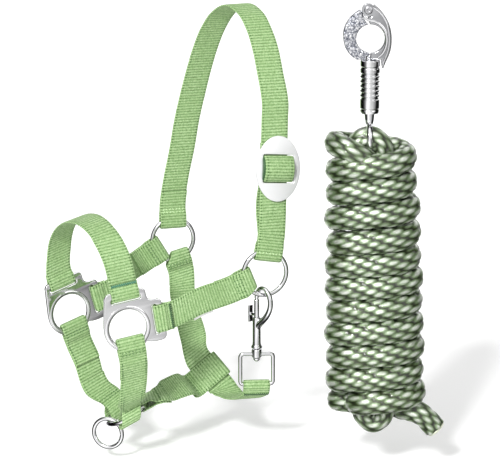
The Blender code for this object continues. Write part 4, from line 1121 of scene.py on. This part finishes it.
# ---- bolt snap ------------------------------------------------------------------------------------------------
foot = SNAP_AXIS + Z * SNAP_Z
hook_uv = [(-0.1, 47.0), (0.2, 50.0), (1.4, 53.2), (4.0, 56.0), (7.2, 57.4), (10.6, 56.9), (13.8, 54.4), (16.2, 50.4), (17.2, 45.4),
           (16.6, 40.4), (14.4, 35.4), (10.9, 30.6), (6.6, 26.4), (2.8, 22.8), (0.2, 19.0)]
hook_r = [1.9, 2.05, 2.1, 2.15, 2.2, 2.25, 2.3, 2.35, 2.4, 2.5, 2.6, 2.8, 3.0, 3.2, 3.2]
fine_uv = soft(hook_uv, 6)
fine_r = np.interp(np.linspace(0, len(hook_r) - 1, len(fine_uv)), range(len(hook_r)), hook_r)
snap = tube("snap_body_cast", [foot + HOOK_D * u + Z * v for u, v in fine_uv], fine_r, NICKEL, seg=24)
barrel = rounded([(0, 0.4), (4.6, 0.4), (5.0, 1.2), (5.0, 2.6), (4.0, 3.6), (3.8, 5.0), (3.8, 28.4), (3.2, 29.4), (0, 29.4)], 0.5)
combine(snap, turned("barrel", barrel, foot, Z, NICKEL, 48), "UNION")
combine(snap, turned("bolt_bore", [(0, 9.0), (2.75, 9.0), (2.75, 33.0), (0, 33.0)], foot, Z, NICKEL, 40), "DIFFERENCE")
combine(snap, turned("rivet_bore", [(0, -1.0), (1.75, -1.0), (1.75, 10.0), (0, 10.0)], foot, Z, NICKEL, 32), "DIFFERENCE")
combine(snap, block("tab_slot", (6.0, 2.8, 18.0), frame_at(foot - HOOK_D * 4.2 + Z * 24.6, HOOK_D, Z.cross(HOOK_D), Z), NICKEL, 0), "DIFFERENCE")
claim(snap, "snap_body")
bolt = turned("snap_bolt_cast", rounded([(0, 22.4), (2.2, 22.4), (2.35, 22.8), (2.35, 45.0), (1.7, 46.5), (0, 46.5)], 0.3), foot, Z, NICKEL, 40)
combine(bolt, block("tab_stem", (6.2, 2.0, 2.6), frame_at(foot - HOOK_D * 4.6 + Z * 31.4, HOOK_D, Z.cross(HOOK_D), Z), NICKEL, 0.3), "UNION")
combine(bolt, block("tab_plate", (1.6, 5.2, 15.4), frame_at(foot - HOOK_D * 8.0 + Z * 31.4, HOOK_D, Z.cross(HOOK_D), Z), NICKEL, 0.6), "UNION")
claim(bolt, "snap_bolt")
claim(turned("snap_swivel_rivet_head", rounded([(0, 6.4), (1.45, 6.4), (1.45, -8.6), (3.4, -8.6), (3.2, -10.4), (1.8, -11.8), (0, -12.0)], 0.3),
             foot, Z, NICKEL, 40), "snap_swivel_rivet")
top_bar, bottom_bar, half_w, corner = -5.0, -EYE_DROP, 14.8, 3.0
loop = []
for cx, cy, a in ((half_w - corner, top_bar - corner, 0), (-half_w + corner, top_bar - corner, 90),
                  (-half_w + corner, bottom_bar + corner, 180), (half_w - corner, bottom_bar + corner, 270)):
    loop += [foot + EYE_X * x + Z * y for x, y in arc(cx, cy, corner, a, a + 90, 8)]
dense = []
for a, b in zip(loop, loop[1:] + loop[:1]):
    n = max(1, int((b - a).length / 2.0))
    dense += [a.lerp(b, k / n) for k in range(n)]
eye = tube("square_eye_cast", dense, 1.9, NICKEL, cyclic=True, seg=20)
combine(eye, turned("eye_boss", rounded([(0, -8.0), (4.3, -8.0), (4.6, -7.4), (4.6, -1.2), (4.2, -0.2), (0, -0.2)], 0.3), foot, Z, NICKEL, 48), "UNION")
combine(eye, turned("eye_bore", [(0, -12.0), (1.8, -12.0), (1.8, 4.0), (0, 4.0)], foot, Z, NICKEL, 32), "DIFFERENCE")
claim(eye, "square_eye")


def coil_points(at, mean, h0, h1, turns, per_turn):
    n = int(turns * per_turn)
    return [at + Vector((mean * math.cos(2 * math.pi * k / per_turn), mean * math.sin(2 * math.pi * k / per_turn), h0 + (h1 - h0) * k / n))
            for k in range(n + 1)]


bolt_spring = claim(tube("snap_bolt_spring_wire", coil_points(foot, 1.95, 9.8, 21.6, 6, 24), 0.35, STEEL, seg=10), "snap_bolt_spring")
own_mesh(bolt_spring)

# ---- quick release snap ------------------------------------------------------------------------------------------
R_X, R_N = turn(55.0), turn(-35.0)
SNAP_U = -5.0


def beside(u, v, w=0.0):
    """A point beside the hank's axis: across, up, out of its face."""
    return HANK_AT + R_X * u + Z * v + R_N * w


HOLE_Z, STEM_END = -13.4, -70.0
SHANK_TOP = STEM_END - GAP
SLEEVE_TOP, SLEEVE_STEP, SLEEVE_END = -31.8, -52.0, -78.0
BORE, SNAP_T, PIVOT = 12.1, 7.0, (-2.1, 24.5)
RING_Z, RING_R, RING_WIRE = -100.1, 12.2, 2.6


def on_axis(name, profile, mat=None, seg=64, r=0.3):
    return turned(name, rounded(profile, r) if r else profile, beside(SNAP_U, 0), Z, mat or NICKEL, seg)


def face(w):
    return frame_at(beside(SNAP_U, HOLE_Z, w), R_X, Z, R_N)


pivot_at = beside(SNAP_U + PIVOT[0], HOLE_Z + PIVOT[1])
swivel = torus("panic_swivel_eye_cast", beside(SNAP_U, RING_Z), R_X, RING_R, RING_WIRE, 96, 24)
combine(swivel, on_axis("swivel_stem", [(0, -89.2), (2.0, -89.2), (3.2, -87.6), (4.0, -84.0), (4.4, -79.0), (4.7, -74.0), (4.6, SHANK_TOP), (1.8, SHANK_TOP),
                                        (1.8, -64.0), (3.4, -64.0), (3.4, -60.1), (2.9, -59.5), (0, -59.5)]), "UNION")
claim(swivel, "panic_swivel_eye")

LAP = SNAP_T / 2 - 0.2
outer = soft([(-11.5, -18.0), (-17.0, -14.0), (-21.8, -6.5), (-23.4, 3.5), (-21.4, 12.0), (-16.3, 19.3), (-9.6, 24.6)], 6)
inner = soft([(-9.6, 24.6), (-7.9, 23.0), (-6.2, 17.8), (-3.4, 13.6), (-2.1, 11.92)], 5)
body_edge = [(-0.4, -18.0)] + outer + inner[1:] + arc(0, 0, BORE, 101, 262, 48) + [(-0.4, -13.5)]
body = slab("panic_body_cast", [body_edge], SNAP_T, 0.9, face(0), MOTTLED)
ear = slab("body_ear", [arc(PIVOT[0], PIVOT[1], 5.4, -110, 190, 40) + [(-9.4, 22.4), (-6.6, 17.6)]], LAP, 0.35, face(-0.15 - LAP / 2), CAST, 2)
combine(body, ear, "UNION")
combine(body, on_axis("body_stem", [(0, STEM_END), (6.9, STEM_END), (6.9, -67.0), (5.2, -67.0), (5.2, HOLE_Z - 14.2), (0, HOLE_Z - 14.2)], CAST), "UNION")
combine(body, on_axis("stem_cavity", [(0, STEM_END - 0.5), (2.1, STEM_END - 0.5), (2.1, -64.3), (3.7, -64.3), (3.7, -59.0), (0, -59.0)], CAST, r=0), "DIFFERENCE")
combine(body, block("lip_room", (9.3, 16.0, 6.2), frame_at(beside(SNAP_U + 4.35, HOLE_Z - 15.1), R_X, Z.cross(R_X), Z), CAST, 0), "DIFFERENCE")
combine(body, turned("pivot_bore", [(0, -6), (2.3, -6), (2.3, 6), (0, 6)], pivot_at, R_N, CAST, 32), "DIFFERENCE")
claim(body, "panic_body")

crescent = soft([(11.2, -25.6), (13.4, -20.0), (16.6, -12.5), (18.0, -5.0), (17.8, 4.5), (15.4, 13.5), (10.8, 21.3), (6.4, 26.3), (2.6, 28.8)], 6)
jaw_edge = [(0.1, -17.9), (9.3, -17.9), (9.4, -21.0), (10.2, -25.4)] + crescent
jaw_edge += arc(PIVOT[0], PIVOT[1], 5.9, 42, -95, 24) + [(-2.2, 16.4), (-1.6, 14.5)] + arc(0, 0, BORE, 92, -89, 56) + [(0.1, -13.6)]
jaw = slab("panic_jaw_cast", [jaw_edge], SNAP_T, 1.3, face(0), DARK_NICKEL, 6)
boss = slab("jaw_boss", [arc(PIVOT[0], PIVOT[1], 5.4, 60, 300, 40) + [(3.4, 19.5), (5.5, 25.5)]], LAP, 0.35, face(0.15 + LAP / 2), NICKEL, 2)
combine(jaw, boss, "UNION")
combine(jaw, turned("jaw_bore", [(0, -6), (2.3, -6), (2.3, 6), (0, 6)], pivot_at, R_N, NICKEL, 32), "DIFFERENCE")
claim(jaw, "panic_jaw")
lip = soft([(-6.6, 21.0), (-4.6, 17.9), (-1.0, 15.9), (3.4, 15.0), (7.8, 12.6), (11.6, 8.4), (13.6, 3.0), (14.0, -2.4), (12.8, -8.0), (10.2, -12.8), (6.4, -16.2)], 6)
lip_r = np.interp(np.linspace(0, 1, len(lip)), [0, 0.1, 0.3, 0.7, 0.9, 1], [0.5, 1.0, 1.35, 1.5, 1.2, 0.6])
companion(tube("panic_jaw_lip", [beside(SNAP_U + x, HOLE_Z + y, SNAP_T / 2 + 0.1) for x, y in lip], lip_r, NICKEL, seg=20), "panic_jaw")
outer_lip = soft([(2.2, 26.6), (6.4, 23.6), (10.2, 19.4), (13.8, 12.8), (15.8, 4.6), (16.0, -5.0), (14.6, -12.0), (11.8, -19.4), (10.8, -23.4)], 6)
companion(tube("panic_jaw_ridge", [beside(SNAP_U + x, HOLE_Z + y, SNAP_T / 2 - 0.25) for x, y in outer_lip], 0.75, NICKEL, seg=16), "panic_jaw")
claim(turned("panic_pivot_rivet_head", rounded([(0, -4.9), (2.6, -4.9), (3.6, -4.3), (3.6, -3.8), (2.0, -3.8), (2.0, 3.8), (3.6, 3.8), (3.6, 4.3), (2.6, 4.9),
                                                (1.3, 4.9), (1.0, 4.3), (0, 4.3)], 0.2), pivot_at, R_N, STEEL, 40), "panic_pivot_rivet")

sleeve = [(5.5, SLEEVE_TOP), (7.9, SLEEVE_TOP), (8.6, SLEEVE_TOP - 0.8), (8.6, -37.0), (7.9, -37.8), (7.9, -38.8), (8.6, -39.6), (8.6, -42.6)]
for k in range(6):                       # finger grooves
    z = -43.4 - 4.1 * k
    sleeve += [(7.75, z), (7.75, z - 1.5), (8.6, z - 2.2), (8.6, z - 3.3)]
sleeve += [(8.6, SLEEVE_END + 4.6), (8.0, SLEEVE_END + 4.0), (8.0, SLEEVE_END + 3.0), (8.4, SLEEVE_END + 2.4), (7.9, SLEEVE_END), (7.2, SLEEVE_END),
           (7.2, SLEEVE_STEP), (5.5, SLEEVE_STEP), (5.5, SLEEVE_TOP)]
claim(on_axis("panic_sleeve_turned", sleeve, SLEEVE_NICKEL, 72, 0.22), "panic_sleeve")
sleeve_spring = claim(tube("panic_sleeve_spring_wire", coil_points(beside(SNAP_U, 0), 6.2, -66.3, -52.7, 4, 40), 0.45, STEEL, seg=10), "panic_sleeve_spring")
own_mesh(sleeve_spring)

# ---- lead rope: one braided length, from its splice to its cut end -----------------------------------------------
ROPE_LOOK = 20.5                           # across the lozenges
left_z = [-104.5, -127.4, -148.5, -171.0, -193.5, -213.6, -233.4, -254.4, -275.0, -296.1, -316.7, -337.4]
edge_z = [-345, -245, -155, -105]
left_u = [-41.6, -42.7, -43.2, -43.2]
right_u = [48.5, 45.0, 40.5, 35.0]
ARCH_R, ARCH_Z = 12.2, -112.2


def wound(turns):
    """Centre of the winding after this many turns: left side first, then behind, right, in front."""
    z = float(np.interp(turns, range(len(left_z)), left_z))
    lo, hi = float(np.interp(z, edge_z, left_u)), float(np.interp(z, edge_z, right_u))
    lo += 19.0 * max(0.0, 1.0 - abs(turns - 11.0) / 0.42) ** 0.7
    mid, hw, hd = (lo + hi) / 2, (hi - lo) / 2 - 9.6, 17.6
    hw += 0.9 * math.sin(turns * 2.4 + 1.0)
    a = 2 * math.pi * turns
    c, s = math.cos(a), math.sin(a)
    u = mid - hw * math.copysign(abs(c) ** 0.8, c)
    w = -hd * math.copysign(abs(s) ** 0.86, s)
    return (u, z + 0.3 * math.sin(turns * 5.1), w)


way = [(10.5, -141, -5), (9.5, -130, -3), (SNAP_U + ARCH_R + 0.6, -121, -0.5)]
way += [(SNAP_U + ARCH_R * math.cos(math.pi * k / 10), ARCH_Z + ARCH_R * math.sin(math.pi * k / 10), 0) for k in range(11)]
way += [(-17.6, -121, 0), (-16, -135, -1), (-11, -155, -1), (-7.5, -180, 0), (-7, -230, 0.5), (-7, -290, 0), (-7, -330, 0)]
way += [(2 - 9 * math.cos(math.pi * k / 6), -346 - 9.5 * math.sin(math.pi * k / 6), 0) for k in range(7)]
way += [(11, -330, 0), (11, -290, 0.5), (11, -230, 0), (11, -180, 0.5), (9, -150, 2), (2, -129, 6), (-9, -117, 12.5), (-22, -109, 13.5)]
way += [wound(k / 16) for k in range(0, 16 * 11 + 1)]
way += [(-30, -339.5, -12), (-16, -341.5, -17.5), (0, -343, -18.2), (14, -344, -16), (24, -344.8, -8), (31, -345, -1.5), (36, -345.5, 0), (42, -348, 0), (48, -352.5, 0),
        (53, -358, 0), (57, -362.5, 0)]
pts = np.array([tuple(beside(u, z, w)) for u, z, w in way])


LEAN = 0.30


def even(points, step):
    """A smooth curve through the points, read at even steps."""
    p = np.vstack([points[0] * 2 - points[1], points, points[-1] * 2 - points[-2]])
    out = []
    for i in range(1, len(p) - 2):
        a, b, c, d = p[i - 1:i + 3]
        n = 24
        t = (np.arange(n) / n)[:, None]
        m = np.linalg.norm(c - b)
        tb = (b - a) / np.linalg.norm(b - a) + (c - b) / m
        tc = (c - b) / m + (d - c) / np.linalg.norm(d - c)
        tb, tc = tb / np.linalg.norm(tb) * m, tc / np.linalg.norm(tc) * m
        out.append(b * (2 * t**3 - 3 * t**2 + 1) + tb * (t**3 - 2 * t**2 + t) + c * (-2 * t**3 + 3 * t**2) + tc * (t**3 - t**2))
    out = np.vstack(out + [p[-2:-1]])
    run = np.concatenate([[0], np.cumsum(np.linalg.norm(np.diff(out, axis=0), axis=1))])
    n = int(run[-1] / step)
    s = np.linspace(0, run[-1], n + 1)
    return np.stack([np.interp(s, run, out[:, i]) for i in range(3)], 1), s


def braided(name, points, diameter, step=1.05, around=84, lanes=12, lay=280.0, bite=13.2):
    """Solid braid: leaf-shaped lozenges in lanes that turn slowly round the rope."""
    c, s = even(points, step)
    for _ in range(6):
        c[1:-1] = c[1:-1] * 0.5 + (c[:-2] + c[2:]) * 0.25
    t = np.gradient(c, axis=0)
    t /= np.linalg.norm(t, axis=1)[:, None]
    # frames carried along without twist
    ref = np.cross(t[0], np.array([0.2, 0.3, 0.9]))
    ref /= np.linalg.norm(ref)
    fa = np.zeros_like(c)
    for i in range(len(c)):
        ref = ref - t[i] * ref.dot(t[i])
        ref /= np.linalg.norm(ref)
        fa[i] = ref
    fb = np.cross(t, fa)
    th = 2 * np.pi * np.arange(around) / around
    q = lanes * (th[None, :] / (2 * np.pi) + s[:, None] / lay)
    lane = np.floor(q)
    height = np.zeros_like(q)
    for side in (-1, 0, 1):
        row = lane + side
        x = 2 * (q - row) - 1
        y = s[:, None] / bite + 0.5 * np.mod(row, 2)
        y = 2 * (y - np.floor(y)) - 1
        for over in (-2, 0, 2):
            dy = y - over
            lean = x - LEAN * dy
            wobble = 0.06 * np.sin(row * 7.1 + np.floor(s[:, None] / bite + 0.5 * np.mod(row, 2) + over / 2) * 2.3)
            height = np.maximum(height, 1 + wobble - (lean / 1.62) ** 2 - (dy / 1.17) ** 2)
    crest = np.clip((height - 0.06) / 0.94, 0, 1) ** 0.66
    r = diameter / 2 * (0.83 + 0.17 * crest)
    # pressed a little flat where it lies against its neighbours
    z_axis, flat = np.array([0, 0, 1.0]), 0.085
    d = fa[:, None, :] * np.cos(th)[None, :, None] + fb[:, None, :] * np.sin(th)[None, :, None]
    up = np.abs(d @ z_axis)
    r = r * (1 + flat * (2 * up ** 2 - 1) * (1 - np.abs(t @ z_axis))[:, None])
    p = c[:, None, :] + d * r[:, :, None]
    n, m = p.shape[:2]
    verts = p.reshape(-1, 3) * MM
    idx = np.arange(n * m).reshape(n, m)
    nxt = np.roll(idx, -1, axis=1)
    quads = np.stack([idx[:-1], nxt[:-1], nxt[1:], idx[1:]], axis=-1).reshape(-1, 4).tolist()
    quads.append(idx[0][::-1].tolist())
    quads.append(idx[-1].tolist())
    mesh = bpy.data.meshes.new(name)
    mesh.from_pydata(verts.tolist(), [], quads)
    uv = mesh.uv_layers.new(name="weave")
    loops = np.zeros(len(mesh.loops), np.int64)
    mesh.loops.foreach_get("vertex_index", loops)
    uu, vv = q.reshape(-1) * 0.52, np.repeat(s, m) / 10
    lu = uu[loops]
    # the seam's faces take the far side's lane count
    starts = np.arange(0, len(quads[:-2]) * 4, 4)
    span = lu[:len(starts) * 4].reshape(-1, 4)
    wrap = (span.max(1) - span.min(1)) > 3
    span[wrap] = np.where(span[wrap] < span[wrap].mean(1)[:, None], span[wrap] + lanes * 0.52, span[wrap])
    lu[:len(starts) * 4] = span.ravel()
    uv.data.foreach_set("uv", np.stack([lu, vv[loops]], 1).ravel())
    at = mesh.attributes.new("crest", "FLOAT", "POINT")
    at.data.foreach_set("value", crest.reshape(-1).astype(np.float32))
    mesh.materials.append(ROPE)
    bm = bmesh.new()
    bm.from_mesh(mesh)
    bmesh.ops.recalc_face_normals(bm, faces=bm.faces)
    bm.to_mesh(mesh)
    bm.free()
    mesh.shade_smooth()
    obj = bpy.data.objects.new(name, mesh)
    looks.objects.link(obj)
    return obj, c, s


rope, centre, along = braided("lead_rope_braided", pts, ROPE_LOOK)
claim(rope, "lead_rope_hank", "lead_rope_eye", "lead_rope_tail")

# cut end of the rope: sealed pale fibres
tip, tip_dir = Vector(centre[-1]), Vector(centre[-1] - centre[-4]).normalized()
end = turned("lead_rope_cut_end", [(0, -1.0), (8.2, -1.0), (8.9, -0.2), (9.0, 0.8), (8.4, 1.9), (6.5, 2.5), (5.2, 2.2), (3.6, 2.7), (1.8, 2.3), (0, 2.6)], tip, tip_dir,
             thread_material("cut_rope_fibres", srgb(150, 158, 128), srgb(236, 238, 222)), 48, 70)
companion(end, "lead_rope_tail")
route, _ = even(centre, 9.0)

# ---- floor and light ------------------------------------------------------------------------------------------------
bpy.context.scene.view_settings.view_transform = "Standard"
FLOOR_Z = CAD_BOX[0][2] - 0.012
bm = bmesh.new()
bmesh.ops.create_grid(bm, x_segments=2, y_segments=2, size=30)
floor_mesh = bpy.data.meshes.new("floor")
bm.to_mesh(floor_mesh)
bm.free()
floor = bpy.data.objects.new("floor", floor_mesh)
floor.location = (0, 0, FLOOR_Z)
looks.objects.link(floor)
floor.visible_glossy = False            # the bright metal mirrors the studio, not the floor
n = Nodes("pale_floor")
floor_mesh.materials.append(n.set(Base__Color=(0.93, 0.93, 0.93, 1), Roughness=0.85, Specular__IOR__Level=0.1, Emission__Color=(1, 1, 1, 1), Emission__Strength=0.22))

ahead = Vector((away.x, away.y, 0)).normalized()
right = Vector((-ahead.y, ahead.x, 0))


def sun(name, turned_by, height, strength, angle):
    """Soft sun from this many degrees right of the camera and above the floor."""
    a, e = math.radians(turned_by), math.radians(height)
    d = (ahead * math.cos(a) + right * math.sin(a)) * math.cos(e) + Vector((0, 0, math.sin(e)))
    data = bpy.data.lights.new(name, "SUN")
    data.energy = strength
    data.angle = math.radians(angle)
    obj = bpy.data.objects.new(name, data)
    obj.rotation_euler = d.to_track_quat("Z", "Y").to_euler()
    obj.location = d * 3
    looks.objects.link(obj)
    return obj


sun("key", -20, 34, 2.85, 8)
sun("fill", 52, 24, 0.45, 40)
sun("back", 165, 42, 0.85, 70)

# pale studio with dark panels beside and above, which give the bright metal its dark lines
world = bpy.data.worlds.new("studio")
bpy.context.scene.world = world
world.use_nodes = True
tree = world.node_tree
bg = tree.nodes["Background"]
coord = tree.nodes.new("ShaderNodeTexCoord").outputs["Generated"]


def along_way(vector):
    node = tree.nodes.new("ShaderNodeVectorMath")
    node.operation = "DOT_PRODUCT"
    tree.links.new(coord, node.inputs[0])
    node.inputs[1].default_value = tuple(vector)
    return node.outputs["Value"]


def stops(value, *pairs):
    """Greys along a value from -1 to 1."""
    half = tree.nodes.new("ShaderNodeMath")
    half.operation = "MULTIPLY_ADD"
    tree.links.new(value, half.inputs[0])
    half.inputs[1].default_value = half.inputs[2].default_value = 0.5
    ramp = tree.nodes.new("ShaderNodeValToRGB")
    el = ramp.color_ramp.elements
    while len(el) < len(pairs):
        el.new(0.5)
    for e, (p, g) in zip(el, pairs):
        e.position = p / 2 + 0.5
        e.color = (g, g, g, 1)
    tree.links.new(half.outputs[0], ramp.inputs[0])
    return ramp.outputs[0]


ring = stops(along_way(away), (-1.0, 0.80), (-0.80, 0.86), (-0.70, 0.02), (0.10, 0.02), (0.26, 0.30), (0.42, 1.0), (0.66, 1.0), (0.84, 0.74), (1.0, 0.72))
sides = stops(along_way(right), (-1.0, 0.10), (-0.78, 0.20), (-0.50, 1.3), (-0.10, 1.3), (0.16, 0.95), (0.50, 0.70), (0.80, 0.30), (1.0, 0.4))
both_panels = tree.nodes.new("ShaderNodeMix")
both_panels.data_type = "RGBA"
both_panels.blend_type = "MULTIPLY"
both_panels.inputs[0].default_value = 1.0
tree.links.new(ring, both_panels.inputs[6])
tree.links.new(sides, both_panels.inputs[7])
tree.links.new(both_panels.outputs[2], bg.inputs[0])
bg.inputs[1].default_value = 1.12
